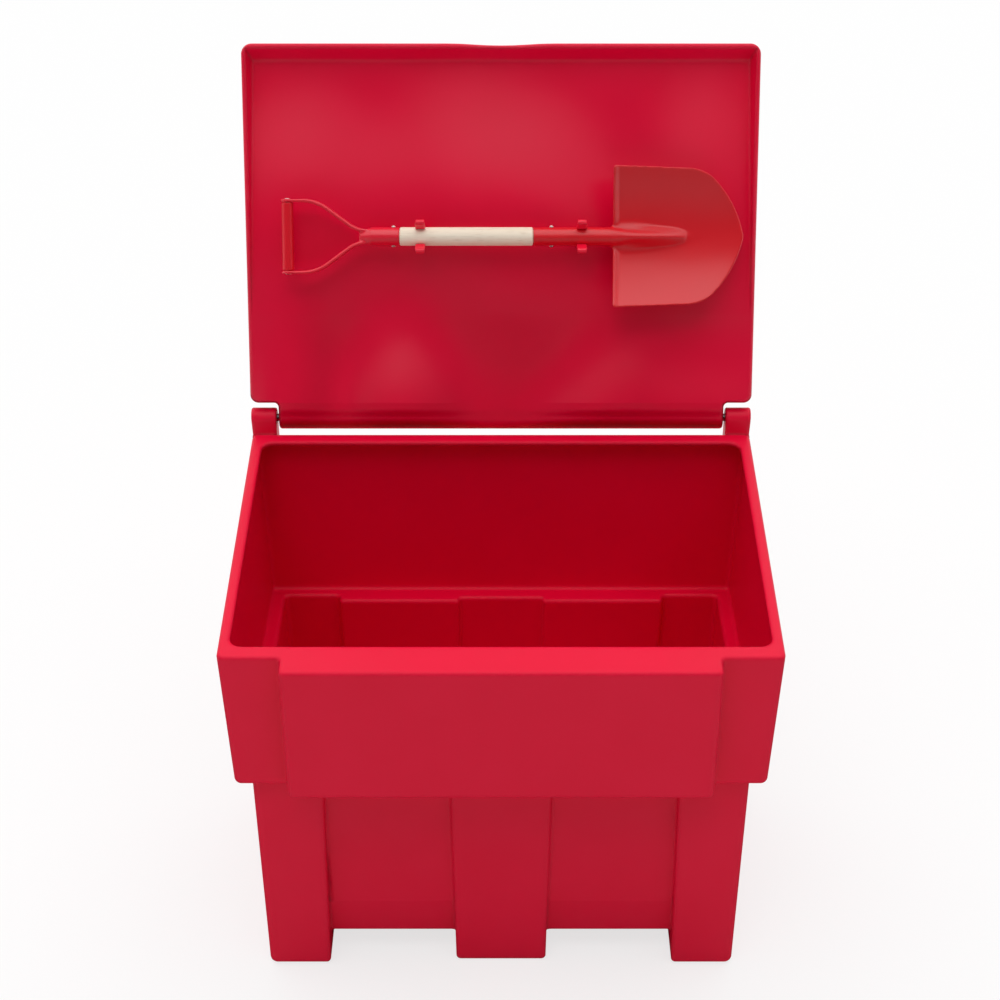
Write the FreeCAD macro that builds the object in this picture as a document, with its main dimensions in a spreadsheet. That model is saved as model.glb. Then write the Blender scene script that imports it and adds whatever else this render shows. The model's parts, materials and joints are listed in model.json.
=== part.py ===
import FreeCAD, Part
import math
import os
import re
import Sketcher
from FreeCAD import Vector

# Grit salt bin: a moulded tub on feet, a hollow lid on a steel rod, and a shovel clipped in the lid.
# Frame: X to the right, Y to the back, Z up, with the origin on the floor under the tub's middle.
# The lid stands open here, leaning back as far as its joint lets it.

doc = FreeCAD.newDocument("grit_salt_bin")
sheet = doc.addObject("Spreadsheet::Sheet", "Sizes")

# Millimetres and degrees
sizes = {
    # Tub: skirt with its raised centre, and the sloping rim
    "wall": 6,
    "inner_skirt_radius": 8,
    "inner_bulge_radius": 4,
    "inner_foot_radius": 6,
    "ledge_radius": 5,
    "ledge_corner_radius": 5.5,
    "ledge_wall_height": 40,
    "collar_width": 764,
    "collar_depth": 504,
    "collar_low": 376,
    "collar_draft": 2,
    "skirt_headroom": 150,
    "collar_corner_radius": 10,
    "skirt_lower_radius": 10,
    "bulge_side_setback": 80,
    "bulge_reach": 32,
    "bulge_corner_radius": 7,
    "bulge_root_radius": 6,
    "rim_front_height": 608,
    "rim_slope": 6.3,
    "rim_side_land": 15.5,
    "rim_front_land": 24.2,
    "rim_back_land": 24,
    "rim_opening_radius": 18,
    "rim_edge_radius": 4.5,
    "rim_lip_radius": 2.5,
    # Tub: lower body, runners, feet and fork tunnels
    "skirt_overhang": 25,
    "body_side_draft": 0.5,
    "body_front_draft": 0.9,
    "body_corner_radius": 12,
    "panel_recess": 16,
    "panel_band_height": 118,
    "panel_band_inset": 11,
    "panel_corner_radius": 4,
    "centre_corner_gap": 0.5,
    "tunnel_height": 46,
    "tunnel_edge_radius": 7,
    "tunnel_mouth_radius": 6,
    "side_runner_width": 94,
    "centre_runner_width": 138,
    "centre_runner_setback": 7,
    "runner_draft": 0.85,
    "runner_edge_radius": 5,
    "foot_radius": 9,
    # Hinge: lugs on the tub, rod and plugs
    "hinge_setback": 25,
    "lug_inset": 28.5,
    "lug_radius": 15.5,
    "lug_bite": 4.5,
    "lug_back_height": 66,
    "lug_root_height": 112,
    "lug_edge_radius": 3,
    "rod_radius": 6,
    "rod_clearance": 0.08,
    "rod_end_recess": 7,
    "plug_head_radius": 9,
    "plug_head_depth": 3,
    "plug_stem_length": 3.5,
    "plug_recess": 0.4,
    # Lid: a hollow slab with a barrel along its back edge
    "lid_rest_angle": 110,
    "lid_side_reach": 11,
    "lid_front_reach": 11.5,
    "lid_under": 19,
    "lid_top": 16,
    "lid_seat_gap": 0.3,
    "lid_wall": 5,
    "barrel_radius": 17.8,
    "lug_side_gap": 4.2,
    "lug_front_gap": 9.8,
    "barrel_blend": 17,
    "lid_corner_radius": 16,
    "ear_corner_radius": 13,
    "notch_radius": 7,
    "neck_overlap": 28,
    "lid_edge_radius": 4.5,
    "recess_start": 165,
    "recess_depth": 22,
    "recess_front_run": 18,
    "recess_front_land": 6.5,
    "recess_side_land": 6,
    "recess_side_run": 9,
    "recess_ridge_radius": 9,
    "dip_length": 167,
    "dip_depth": 3,
    # Shovel: place in the lid, shaft, handle and rivets
    "shovel_reach": 285.5,
    "shovel_standoff": 30,
    "shaft_radius": 14,
    "tenon_radius": 10,
    "shaft_chamfer": 1.5,
    "shaft_left": 154.5,
    "shaft_right": 48.7,
    "tenon_clearance": 0.1,
    "shoulder_gap": 0.3,
    "tenon_left_length": 42,
    "tenon_right_length": 100,
    "socket_radius": 14,
    "socket_length": 120,
    "socket_bore_end_gap": 1,
    "socket_taper": 56.3,
    "nose_radius": 3.5,
    "ferrule_length": 43.5,
    "ferrule_taper": 18,
    "ferrule_nose_radius": 6,
    "grip_radius": 9,
    "handle_width": 113,
    "ear_radius": 10,
    "strap_thickness": 4.5,
    "strap_depth": 16,
    "strap_lead": 22.5,
    "strap_lap": 10.4,
    "strap_angle": 36,
    "strap_outer_bend": 65,
    "strap_inner_bend": 44,
    "strap_root": 9.2,
    "strap_edge_radius": 1.5,
    "pin_radius": 3,
    "pin_head_radius": 5,
    "pin_head_height": 1.6,
    "rivet_radius": 2,
    "rivet_head_radius": 3.6,
    "rivet_head_height": 1.8,
    "rivet_seat_gap": 0.05,
    "yoke_rivet_place": 164,
    "socket_rivet_place": 77,
    # Shovel blade: a dished plate with a frog along its middle and rolled footrests
    "blade_setback": 5.3,
    "blade_length": 197,
    "blade_width": 214,
    "blade_taper": 4,
    "blade_side_length": 111.5,
    "blade_nose_radius": 60,
    "blade_nose_turn": 45,
    "blade_corner_radius": 5,
    "blade_thickness": 4,
    "blade_drop": 9,
    "blade_cross_radius": 225,
    "blade_length_radius": 620,
    "blade_spare": 12,
    "frog_half_width": 24.5,
    "frog_length": 118,
    "frog_end_width": 8,
    "frog_crest_radius": 10,
    "frog_crest_step": 1,
    "frog_tip_radius": 1,
    "footrest_radius": 3.4,
    # Clips on the lid's inner panel, and their screws
    "clip_spacing": 246,
    "clip_width": 15,
    "clip_thickness": 3,
    "clip_clearance": 0.3,
    "clip_mouth_angle": 50,
    "clip_lip_angle": 30,
    "clip_lip_length": 15,
    "clip_edge_radius": 1,
    "clip_stem_width": 13,
    "clip_foot_width": 27,
    "clip_foot_thickness": 4,
    "screw_radius": 2,
    "screw_head_radius": 4,
    "screw_head_depth": 2.2,
    "screw_crown_radius": 2.8,
    "screw_length": 14,
    "screw_clearance": 0.15,
}

# What follows from the sizes above
follows = {
    "body_width": "(collar_width - 2 * skirt_overhang)",
    "body_depth": "(collar_depth - 2 * skirt_overhang)",
    "bulge_width": "(collar_width - 2 * bulge_side_setback)",
    "side_runner_inside": "(body_width / 2 - side_runner_width)",
    "hinge_back": "(collar_depth / 2 + hinge_setback)",
    "lug_inside": "(collar_width / 2 - lug_inset)",
    "lid_width": "(collar_width + 2 * lid_side_reach)",
    "lid_reach": "(hinge_back + collar_depth / 2 + bulge_reach + lid_front_reach)",
    "recess_end": "(lid_reach - recess_front_land)",
    "recess_ridge": "(recess_end - recess_front_run)",
    "socket_end": "(shaft_right + socket_length)",
    "socket_nose": "(socket_end + socket_taper)",
    "blade_start": "(socket_end + blade_setback)",
    "blade_shoulder": "(blade_start + blade_side_length)",
    "blade_tip": "(blade_start + blade_length)",
    "frog_end": "(blade_start + frog_length)",
    "ferrule_straight": "(shaft_left + ferrule_length)",
    "ferrule_end": "(ferrule_straight + ferrule_taper)",
    "strap_both_bends": "(strap_outer_bend + strap_inner_bend)",
    "strap_start": "(handle_width / 2 - strap_thickness / 2)",
    "strap_step": "(strap_start - strap_root - strap_both_bends * (1 - cos(strap_angle)))",
    "strap_straight": "(strap_step / sin(strap_angle))",
    "strap_run": "(strap_both_bends * sin(strap_angle) + strap_straight * cos(strap_angle))",
    "strap_bend_place": "(ferrule_end - strap_lap + strap_run)",
    "grip_place": "(strap_bend_place + strap_lead)",
}

for row, (alias, number) in enumerate(sizes.items(), start=1):
    sheet.set("A%d" % row, alias)
    sheet.set("B%d" % row, str(number))
    sheet.setAlias("B%d" % row, alias)
doc.recompute()

ALONG_X = Vector(1, 0, 0)
ALONG_Y = Vector(0, 1, 0)
ALONG_Z = Vector(0, 0, 1)


# Expressions are written with the bare aliases, and the sheet's name is put before each one here
def bound(text):
    return re.sub(r"[a-z][a-z_]+", lambda word: full_name(word.group(0)), str(text))


def full_name(word):
    if word in follows:
        return bound(follows[word])
    if word in sizes:
        return "Sizes." + word
    return word


def value(text):
    result = sheet.evalExpression(bound(text))
    return float(getattr(result, "Value", result))


def bind(item, **properties):
    for name, text in properties.items():
        item.setExpression(name, bound(text))
    return item


def at(x="0", y="0", z="0", axis="1; 0; 0", turn="0"):
    return "placement(vector(%s; %s; %s); rotation(vector(%s); %s))" % (x, y, z, axis, turn)


# A drafted block between two heights, from its left, right, front and back at each of them
def block(name, low, high, base, top, place=""):
    wedge = doc.addObject("Part::Wedge", name)
    bind(wedge, Ymin="0", Ymax="(%s) - (%s)" % (high, low))
    bind(wedge, Xmin=base[0], Xmax=base[1], Zmin="-(%s)" % base[3], Zmax="-(%s)" % base[2])
    bind(wedge, X2min=top[0], X2max=top[1], Z2min="-(%s)" % top[3], Z2max="-(%s)" % top[2])
    return bind(wedge, Placement=place + at(z=low, turn="90"))


# The same with left like right and front like back
def even_block(name, low, high, base, top, place=""):
    lower = ["-(%s)" % base[0], base[0], "-(%s)" % base[1], base[1]]
    upper = ["-(%s)" % top[0], top[0], "-(%s)" % top[1], top[1]]
    return block(name, low, high, lower, upper, place)


def straight_box(name, low, high, sides, place=""):
    return block(name, low, high, sides, sides, place)


def rod(name, radius, length, place):
    cylinder = doc.addObject("Part::Cylinder", name)
    return bind(cylinder, Radius=radius, Height=length, Placement=place)


# A round bar along X, centred on the middle plane
def cross_bar(name, radius, half, y="0", z="0"):
    return rod(name, radius, "2 * (%s)" % half, at("-(%s)" % half, y, z, "0; 1; 0", "90"))


def fuse(name, parts):
    joined = doc.addObject("Part::MultiFuse", name)
    joined.Shapes = parts
    joined.Refine = True
    return joined


def cut(name, base, tool):
    piece = doc.addObject("Part::Cut", name)
    piece.Base = base
    piece.Tool = tool
    piece.Refine = True
    return piece


def common(name, parts):
    shared = doc.addObject("Part::MultiCommon", name)
    shared.Shapes = parts
    shared.Refine = True
    return shared


def compound(name, parts):
    group = doc.addObject("Part::Compound", name)
    group.Links = parts
    return group


# Rounds the edges that pass a test, by a radius from the sheet
def rounded(name, base, radius, chosen):
    doc.recompute()
    piece = doc.addObject("Part::Fillet", name)
    piece.Base = base
    amount = value(radius)
    found = [number for number, edge in enumerate(base.Shape.Edges, start=1) if chosen(edge)]
    piece.Edges = [(number, amount, amount) for number in found]
    doc.recompute()
    return piece


def body(name, place=""):
    piece = doc.addObject("PartDesign::Body", name)
    if place:
        bind(piece, Placement=place)
    return piece


# A closed outline on one of a body's origin planes. Each corner has its two coordinates, and a radius
# where the way to the next corner is an arc: above zero it turns to the left, below zero to the right.
def outline(piece, name, role, corners, offset=None):
    sketch = piece.newObject("Sketcher::SketchObject", name)
    plane = [item for item in piece.Origin.OriginFeatures if item.Role == role][0]
    sketch.AttachmentSupport = [(plane, "")]
    sketch.MapMode = "FlatFace"
    if offset:
        bind(sketch, AttachmentOffset=at(*offset))
    draw(sketch, corners)
    return sketch


def draw(sketch, corners):
    spots = [Vector(value(corner[0]), value(corner[1]), 0) for corner in corners]
    first = sketch.GeometryCount
    starts = []
    for index, corner in enumerate(corners):
        here = spots[index]
        there = spots[(index + 1) % len(spots)]
        if len(corner) == 2:
            sketch.addGeometry(Part.LineSegment(here, there), False)
            starts.append(1)
        else:
            sketch.addGeometry(arc_between(here, there, value(corner[2])), False)
            starts.append(1 if value(corner[2]) > 0 else 2)
    for index, corner in enumerate(corners):
        after = (index + 1) % len(corners)
        joint = (first + index, 3 - starts[index], first + after, starts[after])
        sketch.addConstraint(Sketcher.Constraint("Coincident", *joint))
        point = (-1, 1, first + index, starts[index])
        for kind, text, number in zip(("DistanceX", "DistanceY"), corner, spots[index]):
            hold(sketch, Sketcher.Constraint(kind, *point, number), text)
        if len(corner) == 3:
            size = abs(value(corner[2]))
            hold(sketch, Sketcher.Constraint("Radius", first + index, size), "abs(%s)" % corner[2])


def hold(sketch, constraint, text):
    number = sketch.addConstraint(constraint)
    sketch.setExpression("Constraints[%d]" % number, bound(text))


def arc_between(here, there, radius):
    chord = there - here
    left = Vector(-chord.y, chord.x, 0).normalize()
    reach = math.sqrt(max(radius ** 2 - chord.Length ** 2 / 4, 0))
    centre = (here + there) * 0.5 + left * math.copysign(reach, radius)
    circle = Part.Circle(centre, ALONG_Z, abs(radius))
    ends = [math.atan2(spot.y - centre.y, spot.x - centre.x) for spot in (here, there)]
    if radius < 0:
        ends.reverse()
    if ends[1] < ends[0]:
        ends[1] += 2 * math.pi
    return Part.ArcOfCircle(circle, ends[0], ends[1])


def pad(piece, name, sketch, length, kind="PartDesign::Pad", both_ways=True):
    feature = piece.newObject(kind, name)
    feature.Profile = sketch
    if both_ways:
        feature.SideType = "Symmetric"
    bind(feature, Length=length)
    return feature


def turned(piece, name, sketch, axis="H_Axis", angle="360"):
    feature = piece.newObject("PartDesign::Revolution", name)
    feature.Profile = sketch
    feature.ReferenceAxis = (sketch, [axis])
    feature.Midplane = True
    return bind(feature, Angle=angle)


def soften(piece, name, radius, chosen):
    doc.recompute()
    base = piece.Tip
    found = ["Edge%d" % number for number, edge in enumerate(base.Shape.Edges, start=1) if chosen(edge)]
    feature = piece.newObject("PartDesign::Fillet", name)
    feature.Base = (base, found)
    return bind(feature, Radius=radius)


def middle(edge):
    return edge.valueAt((edge.FirstParameter + edge.LastParameter) / 2)


def near(number, target, slack=0.5):
    return abs(number - target) < slack


def runs_along(edge, axis, least=0.95):
    ends = [vertex.Point for vertex in edge.Vertexes]
    if len(ends) < 2 or ends[0].distanceToPoint(ends[1]) < 1e-6:
        return False
    return abs((ends[1] - ends[0]).normalize().dot(axis)) > least


def upright(edge):
    return runs_along(edge, ALONG_Z)


def level(edge, height):
    return all(near(vertex.Point.z, height, 0.05) for vertex in edge.Vertexes)


# Half the skirt's width or depth at a height
def collar_half(size, height, inset="0"):
    return "(%s / 2 + ((%s) - collar_low) * tan(collar_draft) - (%s))" % (size, height, inset)


RIM_FRONT = collar_half("collar_depth", "rim_front_height")


# The height of the rim's plane so far behind the middle, or of a plane so deep below it
def rim_height(back, depth="0"):
    rise = "(%s + (%s)) * tan(rim_slope)" % (RIM_FRONT, back)
    return "(rim_front_height + %s - (%s) / cos(rim_slope))" % (rise, depth)


HINGE_HEIGHT = rim_height("hinge_back", "-(lid_under + lid_seat_gap)")
ABOVE = "(rim_front_height + skirt_headroom)"


def collar_block(name, low, inset):
    base = [collar_half("collar_width", low, inset), collar_half("collar_depth", low, inset)]
    top = [collar_half("collar_width", ABOVE, inset), collar_half("collar_depth", ABOVE, inset)]
    return even_block(name, low, ABOVE, base, top)


def bulge_block(name, low, inset):
    side = "(bulge_width / 2 - (%s))" % inset
    rows = []
    for height in (low, ABOVE):
        front = "-(%s + bulge_reach)" % collar_half("collar_depth", height, inset)
        rows.append(["-" + side, side, front, "-collar_depth / 4"])
    return block(name, low, ABOVE, rows[0], rows[1])


# Everything over the rim's plane, or over a plane so deep below it
def over_rim(name, depth):
    sky = doc.addObject("Part::Box", name)
    bind(sky, Length="collar_width * 2", Width="collar_depth * 3", Height="rim_front_height")
    corner_height = rim_height("-collar_depth", depth)
    return bind(sky, Placement=at("-collar_width", "-collar_depth", corner_height, turn="rim_slope"))


def body_side(height):
    return "(body_width / 2 + (%s) * tan(body_side_draft))" % height


def body_front(height):
    return "(body_depth / 2 + (%s) * tan(body_front_draft))" % height


# Where the centre runner's side and a side runner's inner side are at a height, or a wall further in
def centre_side(height, wall="0"):
    return "(centre_runner_width / 2 + (%s) * tan(runner_draft) - %s)" % (height, wall)


def side_inside(height, wall="0"):
    return "(side_runner_inside - (%s) * tan(runner_draft) + %s)" % (height, wall)


# The panels between the runners: a sloped band from the tunnels' roof up, and the flat above it
def panel_blocks(top):
    rows = []
    for height, extra in (("tunnel_height", "panel_band_inset"), ("panel_band_height", "0"), (top, "0")):
        rows.append([body_side(height), "(%s - panel_recess - %s)" % (body_front(height), extra)])
    band = even_block("panel_band", "tunnel_height", "panel_band_height", rows[0], rows[1])
    flat = even_block("panel_flat", "panel_band_height", top, rows[1], rows[2])
    return [band, flat]


# A runner from front to back, with the tub standing on it
def runner(name, top, place):
    rows = []
    for height in ("0", top):
        front = body_front(height)
        if place == 0:
            front = "(%s - centre_runner_setback)" % front
            across = ["-" + centre_side(height), centre_side(height)]
        else:
            across = [side_inside(height), body_side(height)]
            if place < 0:
                across = ["-" + across[1], "-" + across[0]]
        rows.append(across + ["-" + front, front])
    return block(name, "0", top, rows[0], rows[1])


RUNNERS = (("left", -1), ("centre", 0), ("right", 1))

# Tub: the skirt, cut off along the sloping rim
collar_side = value("collar_width / 2")
bulge_side = value("bulge_width / 2")
bulge_middle = -value(collar_half("collar_depth", "collar_low") + " + bulge_reach / 2")
skirt_low = value("collar_low")
rim_middle = value(rim_height("0"))
rim_rise = math.tan(math.radians(value("rim_slope")))


def on_rim(edge, height=rim_middle):
    points = [vertex.Point for vertex in edge.Vertexes] + [middle(edge)]
    return all(near(point.z, height + point.y * rim_rise, 0.05) for point in points)


def at_bulge_side(edge):
    return upright(edge) and near(abs(middle(edge).x), bulge_side)


skirt = fuse("skirt_form", [collar_block("collar_form", "collar_low", "0"),
                            bulge_block("bulge_form", "collar_low", "0")])
skirt = cut("skirt_sloped", skirt, over_rim("rim_cut", "0"))
skirt = rounded("bulge_roots", skirt, "bulge_root_radius",
                lambda edge: at_bulge_side(edge) and middle(edge).y > bulge_middle)
skirt = rounded("collar_corners", skirt, "collar_corner_radius",
                lambda edge: upright(edge) and abs(middle(edge).x) > collar_side - 1)
skirt = rounded("bulge_corners", skirt, "bulge_corner_radius",
                lambda edge: at_bulge_side(edge) and middle(edge).y < bulge_middle)
skirt = rounded("rim_edges", skirt, "rim_edge_radius", on_rim)
skirt = rounded("skirt_lower_edges", skirt, "skirt_lower_radius",
                lambda edge: level(edge, skirt_low))

# Tub: the lower body, with the tunnels between its runners
BODY_TOP = "(collar_low + wall / 2)"
outside = value(body_side("0")) - 1
roof = value("tunnel_height")
band_top = value("panel_band_height")
forms = []
for label, place in RUNNERS:
    form = runner(label + "_runner_form", BODY_TOP, place)
    if place:
        form = rounded(label + "_body_corners", form, "body_corner_radius",
                       lambda edge: upright(edge) and abs(middle(edge).x) > outside)
    form = rounded(label + "_runner_edges", form, "runner_edge_radius",
                   lambda edge: upright(edge) and abs(middle(edge).x) < outside - 30)
    forms.append(rounded(label + "_foot_edges", form, "foot_radius", lambda edge: level(edge, 0)))


def tunnel_corner(edge):
    return level(edge, roof) and runs_along(edge, ALONG_Y) and abs(middle(edge).x) < outside - 20


def panel_corner(edge):
    depth = value(body_front(middle(edge).z)) - value("panel_recess")
    return upright(edge) and near(abs(middle(edge).y), depth) and middle(edge).z > band_top


lower = fuse("body_form", panel_blocks(BODY_TOP) + forms)
lower = rounded("tunnel_corners", lower, "tunnel_edge_radius", tunnel_corner)
lower = rounded("tunnel_mouths", lower, "tunnel_mouth_radius",
                lambda edge: level(edge, roof) and runs_along(edge, ALONG_X))
lower = rounded("panel_corners", lower, "panel_corner_radius", panel_corner)

# Tub: the hinge lugs, flush with the collar's sides
LUG_OUTSIDE = collar_half("collar_width", HINGE_HEIGHT)
LUG_FRONT = "(hinge_back - lug_radius)"
LUG_BACK = "(hinge_back + lug_radius)"
LUG_ROOT = "(%s - lug_root_height)" % HINGE_HEIGHT
lug_shape = [
    ("%s - lug_bite" % LUG_FRONT, LUG_ROOT),
    (LUG_BACK, "%s - lug_back_height" % HINGE_HEIGHT),
    (LUG_BACK, HINGE_HEIGHT, "lug_radius * 1.0001"),
    ("hinge_back", "%s + lug_radius" % HINGE_HEIGHT, "lug_radius * 1.0001"),
    (LUG_FRONT, HINGE_HEIGHT),
    (LUG_FRONT, rim_height(LUG_FRONT, "wall / 2")),
    ("%s - lug_bite" % LUG_FRONT, rim_height(LUG_FRONT, "wall / 2")),
]
lug_body = body("lug_bodies")
lug_sketch = outline(lug_body, "lug_outline", "YZ_Plane", lug_shape)
pad(lug_body, "lug_pad", lug_sketch, "collar_width * 1.2")
lug_bounds = []
for height in ("collar_low", ABOVE):
    lug_bounds.append([collar_half("collar_width", height), "collar_depth"])
lug_sides = even_block("lug_sides", "collar_low", ABOVE, lug_bounds[0], lug_bounds[1])
lug_gap = straight_box("lug_gap", "collar_low - wall", ABOVE + " + wall",
                       ["-lug_inside", "lug_inside", "-collar_depth", "collar_depth"])
lugs = cut("lug_pair", common("lug_slab", [lug_body, lug_sides]), lug_gap)
lug_seat = value(LUG_FRONT) - 0.1


def lug_side_edge(edge):
    return not runs_along(edge, ALONG_X) and all(vertex.Point.y > lug_seat for vertex in edge.Vertexes)


lugs = rounded("lug_edges", lugs, "lug_edge_radius", lug_side_edge)

# Tub: its inside, a wall's thickness in. The skirt's hollow ends in a ledge round the lower one.
LEDGE = "(collar_low + wall)"
HOLLOW_TOP = "(%s + ledge_radius)" % LEDGE
inner_skirt = fuse("inner_skirt", [collar_block("inner_collar", LEDGE, "wall"),
                                   bulge_block("inner_bulge", LEDGE, "wall")])
inner_skirt = cut("inner_skirt_sloped", inner_skirt, over_rim("flange_cut", "wall"))
inner_side = collar_side - value("wall") - 1
inner_skirt = rounded("inner_skirt_corners", inner_skirt, "inner_skirt_radius",
                      lambda edge: upright(edge) and abs(middle(edge).x) > inner_side)
inner_skirt = rounded("inner_bulge_corners", inner_skirt, "inner_bulge_radius",
                      lambda edge: upright(edge) and abs(middle(edge).x) < bulge_side)
inner_skirt = rounded("inner_skirt_foot", inner_skirt, "inner_foot_radius",
                      lambda edge: level(edge, value(LEDGE)))


# Rounds an outline whose sides run along its two axes: each corner has its coordinates and radius
def round_corners(corners):
    path = []
    spots = [Vector(value(corner[0]), value(corner[1]), 0) for corner in corners]
    for index, (across, along, radius) in enumerate(corners):
        here = spots[index]
        way_in = (here - spots[index - 1]).normalize()
        way_out = (spots[(index + 1) % len(spots)] - here).normalize()
        turn = round(way_in.cross(way_out).z)
        start = [moved(text, -step, radius) for text, step in zip((across, along), way_in)]
        end = [moved(text, step, radius) for text, step in zip((across, along), way_out)]
        path.append(start + ["%d * %s" % (turn, radius)])
        path.append(end)
    return path


def moved(text, step, radius):
    return "%s + %d * %s" % (text, round(step), radius)


# The lower hollow's plan: one quarter of it, and the rest mirrored. Above the plan's height its walls
# stand upright, and below they are drafted.
PLAN_HEIGHT = "(%s - ledge_wall_height)" % LEDGE
INSIDE_FRONT = "(%s - wall)" % body_front(PLAN_HEIGHT)
INSIDE_PANEL = "(%s - panel_recess)" % INSIDE_FRONT
INSIDE_SIDE = "(%s - wall)" % body_side(PLAN_HEIGHT)
CENTRE_SIDE = centre_side(PLAN_HEIGHT, "wall")
RUNNER_SIDE = side_inside(PLAN_HEIGHT, "wall")
CENTRE_BEND = "(panel_recess - centre_runner_setback - ledge_corner_radius - centre_corner_gap)"
quarter = [
    (CENTRE_SIDE, "(%s - centre_runner_setback)" % INSIDE_FRONT, CENTRE_BEND),
    (CENTRE_SIDE, INSIDE_PANEL, "ledge_corner_radius"),
    (RUNNER_SIDE, INSIDE_PANEL, "ledge_corner_radius"),
    (RUNNER_SIDE, INSIDE_FRONT, "inner_skirt_radius"),
    (INSIDE_SIDE, INSIDE_FRONT, "inner_skirt_radius"),
]
hollow_plan = []
for across, along, backwards in ((1, -1, False), (1, 1, True), (-1, 1, False), (-1, -1, True)):
    corners = [("%d * %s" % (across, x), "%d * %s" % (along, y), radius) for x, y, radius in quarter]
    hollow_plan += reversed(corners) if backwards else corners
upper_body = body("upper_body")
hollow_corners = round_corners(hollow_plan)
upper_plan = outline(upper_body, "upper_plan", "XY_Plane", hollow_corners, ("0", "0", PLAN_HEIGHT))
pad(upper_body, "upper_pad", upper_plan, "%s - %s" % (HOLLOW_TOP, PLAN_HEIGHT), both_ways=False)
inside = fuse("inside_top", [inner_skirt, upper_body])
inside_side = value("body_width / 2")
inside_front = value("body_depth / 2")
inside = rounded("ledge_edges", inside, "ledge_radius",
                 lambda edge: level(edge, value(LEDGE)) and abs(middle(edge).x) < inside_side
                 and abs(middle(edge).y) < inside_front + 3)
lower_body = body("lower_body")
lower_plan = outline(lower_body, "lower_plan", "XY_Plane", hollow_corners, ("0", "0", PLAN_HEIGHT))
lower_pad = pad(lower_body, "lower_pad", lower_plan, "%s - wall" % PLAN_HEIGHT, both_ways=False)
lower_pad.Reversed = True
bind(lower_pad, TaperAngle="-body_front_draft")

# What the lower hollow is cut down to: all above the tunnels' roof, and a channel in each runner
FLOOR = "(tunnel_height + wall)"
CHANNEL_TOP = "(%s + wall)" % FLOOR
spread = ["-body_width", "body_width", "-body_depth", "body_depth"]
floor_parts = [straight_box("above_floor", FLOOR, ABOVE, spread)]
for label, place in RUNNERS:
    rows = []
    for height in ("wall", CHANNEL_TOP):
        if place == 0:
            rows.append(["-" + centre_side(height, "wall"), centre_side(height, "wall")])
        else:
            inner = side_inside(height, "wall")
            rows.append([inner, "body_width"] if place > 0 else ["-body_width", "-" + inner])
    channel = block(label + "_channel", "wall", CHANNEL_TOP, rows[0] + spread[2:], rows[1] + spread[2:])
    floor_parts.append(rounded(label + "_channel_edges", channel, "inner_foot_radius",
                               lambda edge: level(edge, value("wall")) and runs_along(edge, ALONG_Y)))
floor_height = value(FLOOR)
floor_form = rounded("floor_edges", fuse("floor_form", floor_parts), "inner_foot_radius",
                     lambda edge: level(edge, floor_height) and runs_along(edge, ALONG_Y)
                     and abs(middle(edge).x) < outside - 20)
inner_lower = common("inner_lower", [lower_body, floor_form])

# The sloped bands stand in from the hollow's front and back, between the runners
bands = []
for across in (-1, 1):
    for along in (-1, 1):
        rows = []
        for height, extra in ((FLOOR, "panel_band_inset"), ("panel_band_height", "0")):
            sides = ["%d * %s" % (across, centre_side(height, "wall")),
                     "%d * %s" % (across, side_inside(height, "wall"))]
            depths = ["%d * (%s - panel_recess - wall - %s)" % (along, body_front(height), extra),
                      "%d * body_depth / 2" % along]
            rows.append(sorted(sides, key=value) + sorted(depths, key=value))
        label = "band_%d_%d" % (across + 1, along + 1)
        bands.append(block(label, FLOOR, "panel_band_height", *rows))
inner_lower = cut("inner_banded", inner_lower, fuse("bands", bands))
inside = fuse("tub_inside", [inside, inner_lower])
OPENING_SIDE = "(%s - rim_side_land)" % collar_half("collar_width", "rim_front_height")
OPENING_FRONT = "(rim_front_land - %s)" % RIM_FRONT
OPENING_BACK = "(%s - rim_back_land)" % collar_half("collar_depth", rim_height("collar_depth / 2"))
opening_sides = ["-" + OPENING_SIDE, OPENING_SIDE, OPENING_FRONT, OPENING_BACK]
opening = straight_box("rim_opening", "(rim_front_height - wall * 5)", ABOVE, opening_sides)
opening = rounded("rim_opening_corners", opening, "rim_opening_radius", upright)
hollow = fuse("tub_hollow", [inside, opening])
shell = cut("tub_shell", fuse("tub_solid", [skirt, lower, lugs]), hollow)

LUG_BORE = "(rod_radius + rod_clearance)"
bores = [cross_bar("lug_bore", LUG_BORE, "collar_width", "hinge_back", HINGE_HEIGHT)]
for side in (-1, 1):
    start = "(%s - plug_head_depth)" % LUG_OUTSIDE
    seat = at("%d * %s" % (side, start), "hinge_back", HINGE_HEIGHT, "0; 1; 0", "%d" % (90 * side))
    bores.append(rod("plug_seat_%d" % (side + 1), "plug_head_radius", "wall * 2", seat))
shell = cut("tub_bored", shell, fuse("lug_bores", bores))


opening_front = value(OPENING_FRONT) - 1
opening_back = value(OPENING_BACK) + 1


def opening_edge(edge):
    spot = middle(edge)
    return on_rim(edge) and abs(spot.x) < collar_side - 5 and opening_front < spot.y < opening_back


tub = rounded("tub", shell, "rim_lip_radius", opening_edge)


# Hinge: the rod, and a plug over each of its ends
ROD_HALF = "(%s - rod_end_recess)" % LUG_OUTSIDE
hinge_rod = cross_bar("hinge_rod", "rod_radius", ROD_HALF, "hinge_back", HINGE_HEIGHT)

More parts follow.
